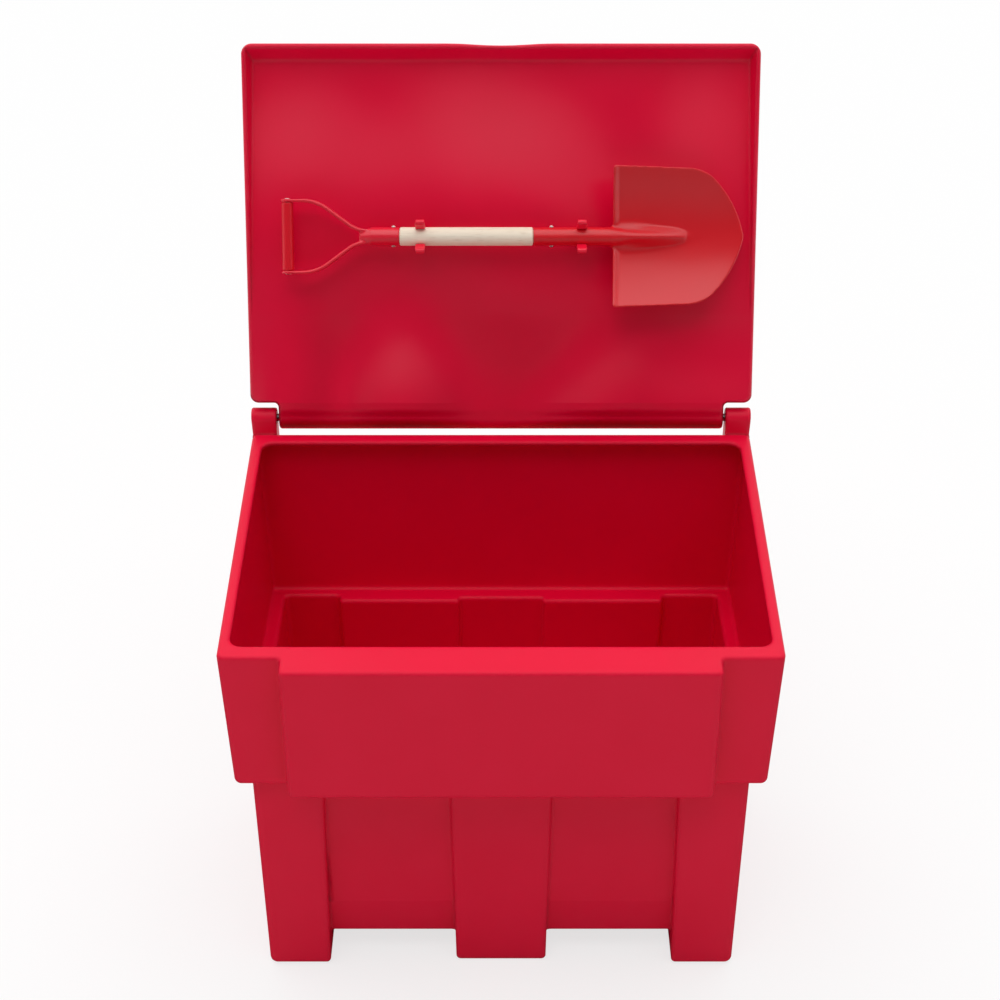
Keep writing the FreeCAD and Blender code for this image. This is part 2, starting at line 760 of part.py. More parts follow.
plugs = []
for side, label in ((-1, "left"), (1, "right")):
    plug = body(label + "_plug", at("%d * %s" % (side, LUG_OUTSIDE), "hinge_back", HINGE_HEIGHT))
    head = "%d * plug_recess" % -side
    neck = "%d * plug_head_depth" % -side
    end = "%d * (plug_head_depth + plug_stem_length)" % -side
    profile = [(head, "0"), (head, "plug_head_radius - tenon_clearance"),
               (neck, "plug_head_radius - tenon_clearance"), (neck, "rod_radius"),
               (end, "rod_radius"), (end, "0")]
    turned(plug, label + "_plug_turned", outline(plug, label + "_plug_half", "XY_Plane", profile))
    plugs.append(plug)
rod_end_plugs = compound("rod_end_plugs", plugs)

# Lid: here the origin is on the hinge line, the lid lies level as if closed, and its front points
# to -Y. Its slab has a tab at the back, between the lugs, which ends in the barrel.
NECK_HALF = "(lug_inside - lug_side_gap)"
EAR_END = "(lug_radius + lug_front_gap)"
NECK_FRONT = "-(%s + neck_overlap)" % EAR_END
SIDE = "(lid_width / 2)"
DIP_TURN = "(2 * atan(2 * dip_depth / dip_length))"
DIP_BEND = "(dip_length / 4 / sin(%s))" % DIP_TURN


# The slab's plan, right round from the dip in its front edge, with every corner rounded
slab_right = [
    ("dip_length / 2", "-lid_reach"),
    ("%s - lid_corner_radius" % SIDE, "-lid_reach", "lid_corner_radius"),
    (SIDE, "lid_corner_radius - lid_reach"),
    (SIDE, "-%s - ear_corner_radius" % EAR_END, "ear_corner_radius"),
    ("%s - ear_corner_radius" % SIDE, "-" + EAR_END),
    ("%s + notch_radius" % NECK_HALF, "-" + EAR_END, "-notch_radius"),
    (NECK_HALF, "notch_radius - " + EAR_END),
    (NECK_HALF, "-barrel_blend"),
]
slab_left = []
for index, spot in enumerate(slab_right[1:]):
    slab_left.insert(0, ("-(%s)" % spot[0], spot[1]) + tuple(slab_right[index][2:]))
slab_dip = [
    ("-dip_length / 2", "-lid_reach", DIP_BEND),
    ("-dip_length / 4", "dip_depth / 2 - lid_reach", "-" + DIP_BEND),
    ("dip_length / 4", "dip_depth / 2 - lid_reach", DIP_BEND),
]
slab_plan = slab_right + slab_left + slab_dip

lid_slab = body("lid_slab")
slab_outline = outline(lid_slab, "slab_outline", "XY_Plane", slab_plan, ("0", "0", "-lid_under"))
pad(lid_slab, "slab_pad", slab_outline, "lid_under + lid_top", both_ways=False)
soften(lid_slab, "slab_edges", "lid_edge_radius", lambda edge: not upright(edge))


# The barrel, with its smooth change to the slab's thickness
def blend_bend(step):
    return "(((barrel_blend / 2) ^ 2 + (%s / 2) ^ 2) / (%s))" % (step, step)


UNDER_STEP = "(lid_under - barrel_radius)"
TOP_STEP = "(barrel_radius - lid_top)"
neck_side = [
    (NECK_FRONT, "-lid_under"),
    ("-barrel_blend", "-lid_under", blend_bend(UNDER_STEP)),
    ("-barrel_blend / 2", "-(lid_under + barrel_radius) / 2", "-" + blend_bend(UNDER_STEP)),
    ("0", "-barrel_radius", "barrel_radius"),
    ("barrel_radius", "0", "barrel_radius"),
    ("0", "barrel_radius", "-" + blend_bend(TOP_STEP)),
    ("-barrel_blend / 2", "(lid_top + barrel_radius) / 2", blend_bend(TOP_STEP)),
    ("-barrel_blend", "lid_top"),
    (NECK_FRONT, "lid_top"),
]
lid_neck = body("lid_neck")
neck_outline = outline(lid_neck, "neck_outline", "YZ_Plane", neck_side)
pad(lid_neck, "neck_pad", neck_outline, "2 * " + NECK_HALF)
soften(lid_neck, "neck_edges", "lid_edge_radius", lambda edge: not runs_along(edge, ALONG_X))
lid_outer = fuse("lid_outer", [lid_slab, lid_neck])

# Lid: the recess in its inner panel, deepest near the front, and the same recess with a wall round it
RECESS_TILT = "atan(recess_depth / (recess_ridge - recess_start))"
RECESS_FRONT_TILT = "atan(recess_depth / (recess_end - recess_ridge))"


def recess(name, wall):
    half = "(%s - recess_side_land + (%s))" % (SIDE, wall)
    start = "(recess_start - (%s) / tan(%s))" % (wall, RECESS_TILT)
    end = "(recess_end + (%s) / tan(%s))" % (wall, RECESS_FRONT_TILT)
    floor = [half, "-%s" % end, "-%s" % start]
    ridge = ["(%s - recess_side_run)" % half, "-recess_ridge", "-recess_ridge"]
    rows = [["-" + row[0]] + row for row in (floor, ridge)]
    hollow = block(name, "-lid_under", "(recess_depth + (%s) - lid_under)" % wall, rows[0], rows[1])
    ridge_height = value("recess_depth - lid_under + (%s)" % wall)
    return rounded(name + "_ridge", hollow, "recess_ridge_radius",
                   lambda edge: runs_along(edge, ALONG_X) and level(edge, ridge_height))


panel_recess = recess("lid_recess", "0")

# Lid: its closed hollow, a wall's thickness in all round
neck_inside = "(%s - lid_wall)" % NECK_HALF
slab_inside = ["-(%s - lid_wall)" % SIDE, "(%s - lid_wall)" % SIDE,
               "-(lid_reach - dip_depth - lid_wall)", "-(%s + lid_wall)" % EAR_END]
slab_hollow = straight_box("slab_hollow", "(lid_wall - lid_under)", "(lid_top - lid_wall)", slab_inside)
slab_hollow = rounded("slab_hollow_corners", slab_hollow, "lid_corner_radius - lid_wall", upright)
neck_hollow = straight_box("neck_hollow", "(lid_wall - barrel_radius)", "(lid_top - lid_wall)",
                           ["-" + neck_inside, neck_inside, NECK_FRONT, "0"])
barrel_hollow = cross_bar("barrel_hollow", "barrel_radius - lid_wall", neck_inside)
lid_hollow = cut("lid_hollow", fuse("lid_inside", [slab_hollow, neck_hollow, barrel_hollow]),
                 recess("recess_skin", "lid_wall"))

# Shovel: its own frame lies on the shaft's axis, +Y to the hinge and +Z to the lid's panel
PANEL_RISE = "recess_depth * (shovel_reach - recess_start) / (recess_ridge - recess_start)"
PANEL_HEIGHT = "(%s - lid_under)" % PANEL_RISE
SHAFT_HEIGHT = "(%s - shovel_standoff / cos(%s))" % (PANEL_HEIGHT, RECESS_TILT)
IN_LID = at("0", "-shovel_reach", SHAFT_HEIGHT, turn="-" + RECESS_TILT) + " * "
SHOVEL = "lid.Placement * " + IN_LID

SCREW_HOLE = "(screw_radius + screw_clearance)"
lid_bores = [cross_bar("lid_rod_bore", LUG_BORE, NECK_HALF + " + lid_wall")]
for side, label in ((-1, "left"), (1, "right")):
    spot = at("%d * clip_spacing / 2" % side, "0", "shovel_standoff - lid_wall / 2")
    lid_bores.append(rod(label + "_screw_bore", SCREW_HOLE, "lid_wall * 2", IN_LID + spot))
lid_carved = cut("lid_carved", lid_outer, fuse("lid_carving", [panel_recess, lid_hollow]))
lid = cut("lid", lid_carved, fuse("lid_bores", lid_bores))
bind(lid, Placement=at("0", "hinge_back", HINGE_HEIGHT, turn="-lid_rest_angle"))

# Clips: each a C round the shaft, open to the front, with two lips, a stem and a foot on the panel
CLIP_INSIDE = "(shaft_radius + clip_clearance)"
CLIP_OUTSIDE = "(%s + clip_thickness)" % CLIP_INSIDE
FOOT_LOW = "(shovel_standoff - clip_foot_thickness)"
lip_tip = ["(%s * sin(clip_mouth_angle) + clip_lip_length * sin(clip_lip_angle))" % CLIP_OUTSIDE,
           "-(%s * cos(clip_mouth_angle) + clip_lip_length * cos(clip_lip_angle))" % CLIP_OUTSIDE]
lip_foot = ["(%s - clip_thickness * cos(clip_lip_angle))" % lip_tip[0],
            "(%s - clip_thickness * sin(clip_lip_angle))" % lip_tip[1]]


def on_mouth(radius):
    return ["%s * sin(clip_mouth_angle)" % radius, "-(%s) * cos(clip_mouth_angle)" % radius]


# From the middle of the foot round to the middle of the C's inside, and back on the other side
clip_half = [
    ("clip_foot_width / 2", "shovel_standoff"),
    ("clip_foot_width / 2", FOOT_LOW),
    ("clip_stem_width / 2", FOOT_LOW),
    ("clip_stem_width / 2", "sqrt(%s ^ 2 - clip_stem_width ^ 2 / 4)" % CLIP_OUTSIDE, "-" + CLIP_OUTSIDE),
    tuple(on_mouth(CLIP_OUTSIDE)),
    tuple(lip_tip),
    tuple(lip_foot),
    tuple(on_mouth(CLIP_INSIDE)) + (CLIP_INSIDE,),
    ("0", CLIP_INSIDE, CLIP_INSIDE),
]
clip_outline = list(clip_half)
for index in range(len(clip_half) - 2, -1, -1):
    spot = clip_half[index]
    bend = clip_half[index - 1][2:] if index else ()
    clip_outline.append(("-(%s)" % spot[0], spot[1]) + tuple(bend))


def shovel_clip(label, side):
    form = body(label + "_clip_form")
    drawn = outline(form, label + "_clip_outline", "YZ_Plane", clip_outline)
    pad(form, label + "_clip_pad", drawn, "clip_width")
    soften(form, label + "_clip_edges", "clip_edge_radius",
           lambda edge: runs_along(edge, ALONG_X) and middle(edge).z < -value(CLIP_INSIDE))
    seat = rod(label + "_screw_seat", "screw_head_radius + screw_clearance", FOOT_LOW, at())
    hole = rod(label + "_screw_hole", SCREW_HOLE, "shovel_standoff * 2", at())
    clip = cut(label + "_shovel_clip", form, fuse(label + "_screw_way", [seat, hole]))
    return bind(clip, Placement=SHOVEL + at("%d * clip_spacing / 2" % side))


def clip_screw(label, side):
    screw = body(label + "_screw", SHOVEL + at("%d * clip_spacing / 2" % side, "0", FOOT_LOW))
    profile = [("0", "-screw_head_depth"), ("screw_crown_radius", "-screw_head_depth"),
               ("screw_head_radius", "-screw_head_depth / 2"), ("screw_head_radius", "0"),
               ("screw_radius", "0"), ("screw_radius", "screw_length - screw_radius"),
               ("0", "screw_length")]
    half = outline(screw, label + "_screw_half", "XZ_Plane", profile)
    turned(screw, label + "_screw_turned", half, "V_Axis")
    return screw


screws = []
for side, label in ((-1, "left"), (1, "right")):
    shovel_clip(label, side)
    screws.append(clip_screw(label, side))
clip_screws = compound("clip_screws", screws)

# Shovel: the shaft, with a tenon at each end and a hole in each tenon for a rivet
LEFT_END = "-(shaft_left + tenon_left_length)"
RIGHT_END = "(shaft_right + tenon_right_length)"
shaft_profile = [
    (LEFT_END, "0"),
    (LEFT_END, "tenon_radius - shaft_chamfer"),
    (LEFT_END + " + shaft_chamfer", "tenon_radius"),
    ("-shaft_left", "tenon_radius"),
    ("-shaft_left", "shaft_radius - shaft_chamfer"),
    ("-shaft_left + shaft_chamfer", "shaft_radius"),
    ("shaft_right - shaft_chamfer", "shaft_radius"),
    ("shaft_right", "shaft_radius - shaft_chamfer"),
    ("shaft_right", "tenon_radius"),
    (RIGHT_END + " - shaft_chamfer", "tenon_radius"),
    (RIGHT_END, "tenon_radius - shaft_chamfer"),
    (RIGHT_END, "0"),
]
SOCKET_BORE = "(tenon_radius + tenon_clearance)"
RIVET_HOLE = "(rivet_radius + tenon_clearance)"


# A bar along Y through the shovel's axis
def cross_pin(name, radius, half, place):
    return rod(name, radius, "2 * (%s)" % half, at(place, "(%s)" % half, "0", turn="90"))


def rivet_hole(name, place):
    return cross_pin(name, RIVET_HOLE, "socket_radius * 2", place)


shaft_form = body("shaft_form")
turned(shaft_form, "shaft_turned", outline(shaft_form, "shaft_half", "XY_Plane", shaft_profile))
shaft_holes = fuse("shaft_holes", [rivet_hole("shaft_yoke_hole", "-yoke_rivet_place"),
                                   rivet_hole("shaft_socket_hole", "socket_rivet_place")])
shovel_shaft = bind(cut("shovel_shaft", shaft_form, shaft_holes), Placement=SHOVEL + at())

# Shovel: the blade's dish, filled up to its inner or its outer face
DISH_MIDDLE = "(blade_start / 2 + blade_tip / 2)"
DISH_HALF = "(blade_width / 2 + blade_spare)"
DISH_SWEEP = "(2 * asin((blade_tip / 2 - blade_start / 2 + blade_spare) / blade_length_radius))"


def dish(name, thickness):
    bend = "(blade_cross_radius + (%s))" % thickness
    edge = "(sqrt(%s ^ 2 - %s ^ 2) + blade_length_radius - blade_cross_radius)" % (bend, DISH_HALF)
    crown = "(blade_length_radius + (%s))" % thickness
    form = body(name)
    profile = [("-" + DISH_HALF, edge), (DISH_HALF, edge, bend), ("0", crown, bend)]
    place = ("0", "blade_drop - blade_length_radius", DISH_MIDDLE)
    drawn = outline(form, name + "_section", "YZ_Plane", profile, place)
    turned(form, name + "_turned", drawn, "H_Axis", DISH_SWEEP)
    return form


# The blade's outline: sides that close in a little, then two arcs to each side of the tip
SIDE_TURN = "atan(blade_taper / (blade_shoulder - blade_start))"
NOSE_X = "(blade_shoulder + blade_nose_radius * (sin(blade_nose_turn) - sin(%s)))" % SIDE_TURN
NOSE_DROP = "blade_nose_radius * (cos(%s) - cos(blade_nose_turn))" % SIDE_TURN
NOSE_Y = "(blade_width / 2 - blade_taper - %s)" % NOSE_DROP
TIP_RUN = "(blade_tip - %s)" % NOSE_X
TIP_OFFSET = "(%s * cos(blade_nose_turn) - %s * sin(blade_nose_turn))" % (NOSE_Y, TIP_RUN)
TIP_BEND = "((%s ^ 2 + %s ^ 2) / (2 * %s))" % (TIP_RUN, NOSE_Y, TIP_OFFSET)
SHOULDER_Y = "(blade_width / 2 - blade_taper)"
blade_outline = [
    ("blade_start", "-blade_width / 2"),
    ("blade_shoulder", "-" + SHOULDER_Y, "blade_nose_radius"),
    (NOSE_X, "-" + NOSE_Y, TIP_BEND),
    ("blade_tip", "0", TIP_BEND),
    (NOSE_X, NOSE_Y, "blade_nose_radius"),
    ("blade_shoulder", SHOULDER_Y),
    ("blade_start", "blade_width / 2"),
]
blade_plan = body("blade_plan")
plan_outline = outline(blade_plan, "blade_outline", "XY_Plane", blade_outline)
pad(blade_plan, "blade_plan_pad", plan_outline, "blade_cross_radius")
soften(blade_plan, "blade_corners", "blade_corner_radius",
       lambda edge: upright(edge) and near(middle(edge).x, value("blade_start")))
dish_outer = dish("dish_outer", "blade_thickness")
dish_sheet = cut("dish_sheet", dish_outer, dish("dish_inner", "0"))
blade_sheet = common("blade_sheet", [dish_sheet, blade_plan])

# The frog: a ridge that carries the socket's line on into the blade
FROG_CREST = "-(socket_radius - frog_crest_step)"
frog_rows = [
    ("frog_start", "blade_start", "frog_half_width", "frog_crest_radius", FROG_CREST),
    ("frog_tip", "frog_end", "frog_end_width / 2", "frog_tip_radius",
     "blade_drop - frog_crest_step"),
]
frog_form = body("frog_form")
frog_sections = []
for name, place, half, bend, crest in frog_rows:
    root = "(blade_drop - (%s - (%s)) ^ 2 / (2 * blade_length_radius))" % (DISH_MIDDLE, place)
    deep = "(blade_drop + blade_thickness + blade_spare)"
    shoulder = "(%s + %s)" % (crest, bend)
    section = [("-(%s)" % bend, shoulder, bend), ("0", crest, bend), (bend, shoulder), (half, root),
               (half, deep), ("-(%s)" % half, deep), ("-(%s)" % half, root)]
    frog_sections.append(outline(frog_form, name, "YZ_Plane", section, ("0", "0", place)))
frog_loft = frog_form.newObject("PartDesign::AdditiveLoft", "frog_loft")
frog_loft.Profile = frog_sections[0]
frog_loft.Sections = [frog_sections[1]]
frog_loft.Ruled = True
frog = common("frog", [frog_form, dish_outer])

# The rolled footrest along the blade's back edge, with round ends
BEAD_BEND = "(blade_cross_radius + blade_thickness / 2)"
BEAD_SPREAD = "((blade_width / 2 - footrest_radius) / %s)" % BEAD_BEND
BEAD_TILT = "asin((%s - blade_start) / blade_length_radius)" % DISH_MIDDLE
DISH_OFFSET = "(blade_length_radius - blade_cross_radius)"
bead_place = " * ".join((
    at("%s - %s * sin(%s)" % (DISH_MIDDLE, DISH_OFFSET, BEAD_TILT), "0",
       "blade_drop - blade_length_radius + %s * cos(%s)" % (DISH_OFFSET, BEAD_TILT),
       "0; 1; 0", "-" + BEAD_TILT),
    at(axis="1; 1; 1", turn="120"),
))
bead = doc.addObject("Part::Torus", "footrest_bead")
bind(bead, Radius1=BEAD_BEND, Radius2="footrest_radius", Angle3="2 * asin(%s)" % BEAD_SPREAD)
bind(bead, Placement=bead_place + " * " + at(axis="0; 0; 1", turn="acos(%s)" % BEAD_SPREAD))
blade_parts = [blade_sheet, frog, bead]
for side in (-1, 1):
    ball = doc.addObject("Part::Sphere", "footrest_end_%d" % (side + 1))
    across = "%d * %s * %s" % (side, BEAD_BEND, BEAD_SPREAD)
    end = at(across, "%s * sqrt(1 - %s ^ 2)" % (BEAD_BEND, BEAD_SPREAD))
    blade_parts.append(bind(ball, Radius="footrest_radius", Placement=bead_place + " * " + end))

socket_start = "(shaft_right + shoulder_gap)"
socket_profile = [(socket_start, "0"), (socket_start, "socket_radius"), ("socket_end", "socket_radius"),
                  ("socket_nose", "nose_radius"), ("socket_nose", "0")]
socket = body("socket")
turned(socket, "socket_turned", outline(socket, "socket_half", "XY_Plane", socket_profile))
blade_parts.append(socket)
socket_bore = rod("socket_bore", SOCKET_BORE, "tenon_right_length + socket_bore_end_gap",
                  at("shaft_right", axis="0; 1; 0", turn="90"))
blade_holes = fuse("blade_holes", [socket_bore, rivet_hole("socket_rivet_hole", "socket_rivet_place")])
shovel_blade = cut("shovel_blade", fuse("blade_solid", blade_parts), blade_holes)
bind(shovel_blade, Placement=SHOVEL + at())

# Shovel: the handle's yoke, a ferrule with two straps that bend out to the ends of the grip
def strap_edge(offset):
    first = "(strap_outer_bend + (%s))" % offset
    second = "(strap_inner_bend - (%s))" % offset
    spots = [("-strap_bend_place", "(strap_start + (%s))" % offset)]
    steps = (
        ("%s * sin(strap_angle)" % first, "%s * (1 - cos(strap_angle))" % first),
        ("strap_straight * cos(strap_angle)", "strap_straight * sin(strap_angle)"),
        ("%s * sin(strap_angle)" % second, "%s * (1 - cos(strap_angle))" % second),
    )
    for run, drop in steps:
        spots.append(("(%s + %s)" % (spots[-1][0], run), "(%s - %s)" % (spots[-1][1], drop)))
    return spots, first, second


outer, outer_first, outer_second = strap_edge("strap_thickness / 2")
inner, inner_first, inner_second = strap_edge("-strap_thickness / 2")
STRAP_END = "-(ferrule_straight - strap_thickness)"
strap_outline = [
    (STRAP_END, outer[3][1]),
    outer[3] + ("-" + outer_second,),
    outer[2],
    outer[1] + (outer_first,),
    outer[0],
    ("-grip_place", outer[0][1]),
    ("-grip_place", inner[0][1]),
    inner[0] + ("-" + inner_first,),
    inner[1],
    inner[2] + (inner_second,),
    inner[3],
    (STRAP_END, inner[3][1]),
]
strap = body("strap")
pad(strap, "strap_pad", outline(strap, "strap_outline", "XY_Plane", strap_outline), "strap_depth")
soften(strap, "strap_edges", "strap_edge_radius",
       lambda edge: not upright(edge) and not near(middle(edge).z, 0) and not runs_along(edge, ALONG_Y))
ear = rod("yoke_ear", "ear_radius", "strap_thickness",
          at("-grip_place", "handle_width / 2", turn="90"))
yoke_arm = fuse("yoke_arm", [strap, ear])
mirrored_arm = doc.addObject("Part::Mirroring", "yoke_arm_mirrored")
mirrored_arm.Source = yoke_arm
mirrored_arm.Normal = ALONG_Y

ferrule_start = "-(shaft_left + shoulder_gap)"
ferrule_profile = [(ferrule_start, "0"), (ferrule_start, "socket_radius"),
                   ("-ferrule_straight", "socket_radius"), ("-ferrule_end", "ferrule_nose_radius"),
                   ("-ferrule_end", "0")]
ferrule = body("ferrule")
turned(ferrule, "ferrule_turned", outline(ferrule, "ferrule_half", "XY_Plane", ferrule_profile))
ferrule_bore = rod("ferrule_bore", SOCKET_BORE, "tenon_left_length + socket_bore_end_gap",
                   at("-shaft_left", axis="0; 1; 0", turn="-90"))
PIN_HOLE = "(pin_radius + tenon_clearance)"
yoke_holes = fuse("yoke_holes", [ferrule_bore, rivet_hole("ferrule_rivet_hole", "-yoke_rivet_place"),
                                 cross_pin("yoke_pin_hole", PIN_HOLE, "handle_width", "-grip_place")])
handle_yoke = cut("handle_yoke", fuse("yoke_solid", [yoke_arm, mirrored_arm, ferrule]), yoke_holes)
bind(handle_yoke, Placement=SHOVEL + at())

# Shovel: the grip between the yoke's ears
GRIP_HALF = "(handle_width / 2 - strap_thickness - shoulder_gap)"
grip_bar = cross_pin("grip_bar", "grip_radius", GRIP_HALF, "-grip_place")
grip_ends = value(GRIP_HALF)
grip_form = rounded("grip_form", grip_bar, "shaft_chamfer",
                    lambda edge: near(abs(middle(edge).y), grip_ends))
grip_hole = cross_pin("grip_hole", PIN_HOLE, "handle_width", "-grip_place")
handle_grip = cut("handle_grip", grip_form, grip_hole)
bind(handle_grip, Placement=SHOVEL + at())


# Shovel: a pin across the axis with a domed head on each end
def headed_pin(name, place, radius, half, head_radius, head_height):
    pin = body(name, SHOVEL + at(place))
    dome = "((%s ^ 2 + %s ^ 2) / (2 * %s))" % (head_radius, head_height, head_height)
    profile = [
        ("0", "-(%s + %s)" % (half, head_height), dome),
        (head_radius, "-(%s)" % half),
        (radius, "-(%s)" % half),
        (radius, half),
        (head_radius, half, dome),
        ("0", "%s + %s" % (half, head_height)),
    ]
    drawn = outline(pin, name + "_half", "XY_Plane", profile)
    turned(pin, name + "_turned", drawn, "V_Axis")
    return pin


RIVET_SEAT = "(socket_radius + rivet_seat_gap)"
RIVET = ("rivet_radius", RIVET_SEAT, "rivet_head_radius", "rivet_head_height")
headed_pin("socket_rivet", "socket_rivet_place", *RIVET)
headed_pin("yoke_rivet", "-yoke_rivet_place", *RIVET)
headed_pin("grip_rivet", "-grip_place", "pin_radius", "(handle_width / 2 + rivet_seat_gap)",
           "pin_head_radius", "pin_head_height")

# What counts as a piece of the bin, each written out under its own name
PIECES = (
    "tub", "lid", "hinge_rod", "rod_end_plugs", "left_shovel_clip", "right_shovel_clip",
    "clip_screws", "shovel_blade", "shovel_shaft", "socket_rivet", "handle_yoke", "yoke_rivet",
    "handle_grip", "grip_rivet",
)

doc.recompute()
os.makedirs("parts", exist_ok=True)
for item in doc.Objects:
    if "Invalid" in item.State or "Error" in item.State:
        raise RuntimeError("%s did not build: %s" % (item.Label, item.State))
for name in PIECES:
    piece = doc.getObject(name)
    if piece.Shape.isNull() or not piece.Shape.isValid():
        raise RuntimeError("%s has no sound shape" % name)
    piece.Label = name
    piece.Shape.exportStep("parts/%s.step" % name)
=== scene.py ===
import json
import math
import bmesh
import bpy
from mathutils import Matrix, Vector


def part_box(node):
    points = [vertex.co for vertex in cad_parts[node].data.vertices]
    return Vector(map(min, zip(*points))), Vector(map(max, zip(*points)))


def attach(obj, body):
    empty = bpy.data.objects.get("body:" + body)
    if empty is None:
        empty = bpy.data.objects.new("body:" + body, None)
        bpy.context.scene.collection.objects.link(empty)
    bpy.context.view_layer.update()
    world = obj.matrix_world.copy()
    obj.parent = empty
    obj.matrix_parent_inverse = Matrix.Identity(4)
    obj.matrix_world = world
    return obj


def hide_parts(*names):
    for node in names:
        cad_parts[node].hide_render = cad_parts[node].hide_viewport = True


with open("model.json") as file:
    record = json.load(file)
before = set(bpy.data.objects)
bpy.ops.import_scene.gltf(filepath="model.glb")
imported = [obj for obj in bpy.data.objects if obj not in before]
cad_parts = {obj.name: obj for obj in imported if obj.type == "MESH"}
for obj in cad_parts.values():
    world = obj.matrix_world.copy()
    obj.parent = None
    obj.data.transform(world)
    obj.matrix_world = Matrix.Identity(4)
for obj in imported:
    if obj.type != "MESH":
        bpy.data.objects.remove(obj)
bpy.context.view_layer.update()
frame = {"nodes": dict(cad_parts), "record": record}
nodes = frame["nodes"]
scene = bpy.context.scene
print("frame loaded:", len(nodes), "nodes")


# Colours are written as they look on screen, 0 to 255
def linear(red, green, blue):
    return tuple((part / 255) ** 2.2 for part in (red, green, blue)) + (1,)


# Adds a node to a shader or geometry tree, sets its values and links the sockets that it is given
def addNode(tree, kind, inputs=None, **settings):
    node = tree.nodes.new(kind)
    for name, value in settings.items():
        setattr(node, name, value)
    for name, value in (inputs or {}).items():
        if isinstance(value, bpy.types.NodeSocket):
            tree.links.new(value, node.inputs[name])
        else:
            node.inputs[name].default_value = value
    return node


def calculate(tree, operation, *values):
    return addNode(tree, "ShaderNodeMath", dict(enumerate(values)), operation=operation).outputs[0]


def blendColours(tree, share, first, second):
    mix = addNode(tree, "ShaderNodeMix", data_type="RGBA")
    for name, value in (("Factor_Float", share), ("A_Color", first), ("B_Color", second)):
        socket = [item for item in mix.inputs if item.identifier == name][0]
        if isinstance(value, bpy.types.NodeSocket):
            tree.links.new(value, socket)
        else:
            socket.default_value = value
    return [item for item in mix.outputs if item.identifier == "Result_Color"][0]


# Maps a value from one range, usually 0 to 1, to another
def spread(tree, value, low, high, fromLow=0.0, fromHigh=1.0):
    return addNode(tree, "ShaderNodeMapRange", {
        "Value": value, "From Min": fromLow, "From Max": fromHigh, "To Min": low, "To Max": high,
    }).outputs["Result"]


def noise(tree, place, scale, detail, **more):
    inputs = {"Vector": place, "Scale": scale, "Detail": detail}
    inputs.update({label.capitalize(): value for label, value in more.items()})
    return addNode(tree, "ShaderNodeTexNoise", inputs).outputs["Fac"]


def dotOf(tree, first, second):
    inputs = {0: first, 1: second}
    return addNode(tree, "ShaderNodeVectorMath", inputs, operation="DOT_PRODUCT").outputs["Value"]


def newMaterial(name):
    material = bpy.data.materials.new(name)
    material.use_nodes = True
    return material, material.node_tree, material.node_tree.nodes["Principled BSDF"]


# A group with its inputs' names and usual values, and its outputs' names
def newGroup(name, kind, inputs, outputs):
    group = bpy.data.node_groups.new(name, kind)
    kinds = {bool: "NodeSocketBool", type(None): "NodeSocketGeometry"}
    for label, value in inputs.items():
        socketType = kinds.get(type(value), "NodeSocketFloat")
        socket = group.interface.new_socket(name=label, in_out="INPUT", socket_type=socketType)
        if value is not None:
            socket.default_value = value
    for label, socketType in outputs.items():
        group.interface.new_socket(name=label, in_out="OUTPUT", socket_type=socketType)
    given = group.nodes.new("NodeGroupInput").outputs
    return group, given, group.nodes.new("NodeGroupOutput").inputs


# Camera, placed as the photograph was taken, 0.93 m above the top of the open lid
cameraView = {
    "place": (0, -2.3926, 2.1565),
    "pitch": 57.863,
    "lens": 69.34,
    "shift": (-0.001, 0.0284),
    "farthest": 50,
}


def makeCamera():
    camera = bpy.data.objects.new("photoCamera", bpy.data.cameras.new("photoCamera"))
    camera.location = cameraView["place"]
    camera.rotation_euler = (math.radians(cameraView["pitch"]), 0, 0)
    camera.data.lens = cameraView["lens"]
    camera.data.shift_x, camera.data.shift_y = cameraView["shift"]
    camera.data.clip_end = cameraView["farthest"]
    scene.collection.objects.link(camera)
    scene.camera = camera


makeCamera()
print("camera set")

# Studio: a pale floor, a wide soft light overhead and a key light from high in front. A dark card
# and mats that only reflections see keep the gloss on the lid, the shovel and the front deep. A mat
# is given by half its width, its front and its back.
studio = {
    "surround": 0.25,
    "floorReach": 14,
    "floorTone": 0.84,
    "floorWhite": 0.72,
    "overhead": {"direction": (-0.05, 0.19, 1), "watts": 2.75, "spread": 90},
    "key": {"direction": (-0.15, -0.5, 0.87), "watts": 0.22, "spread": 26},
    "card": {"width": 16, "height": 4.4, "distance": 3.6, "tone": 0.02},
    "mats": {"nearMat": (2.2, -1.3, 0.9), "farMat": (8, -3.6, -1.3)},
    "matLift": 0.002,
    "lampDistance": 3,
    "paper": {"roughness": 0.95, "specular": 0.05},
}


def softSun(name, direction, watts, spread):
    lamp = bpy.data.lights.new(name, "SUN")
    lamp.energy = watts
    lamp.angle = math.radians(spread)
    sun = bpy.data.objects.new(name, lamp)
    sun.rotation_euler = Vector(direction).to_track_quat("Z", "Y").to_euler()
    sun.location = Vector(direction) * studio["lampDistance"]
    sun.visible_glossy = False  # reflections see the white surround instead
    scene.collection.objects.link(sun)


# White where the camera, a reflection or glass sees it, and its plain self where it lights the bin
def whiteWhereSeen(tree, plain, share):
    light = addNode(tree, "ShaderNodeLightPath").outputs
    seen = calculate(tree, "MAXIMUM", light["Is Camera Ray"], light["Is Glossy Ray"])
    seen = calculate(tree, "MAXIMUM", seen, light["Is Transmission Ray"])
    ofWorld = plain.bl_idname == "ShaderNodeBackground"
    kind = "ShaderNodeBackground" if ofWorld else "ShaderNodeEmission"
    white = addNode(tree, kind, {"Color": (1, 1, 1, 1), "Strength": 1})
    part = calculate(tree, "MULTIPLY", seen, share)
    mix = addNode(tree, "ShaderNodeMixShader", {0: part, 1: plain.outputs[0], 2: white.outputs[0]})
    return mix.outputs[0]


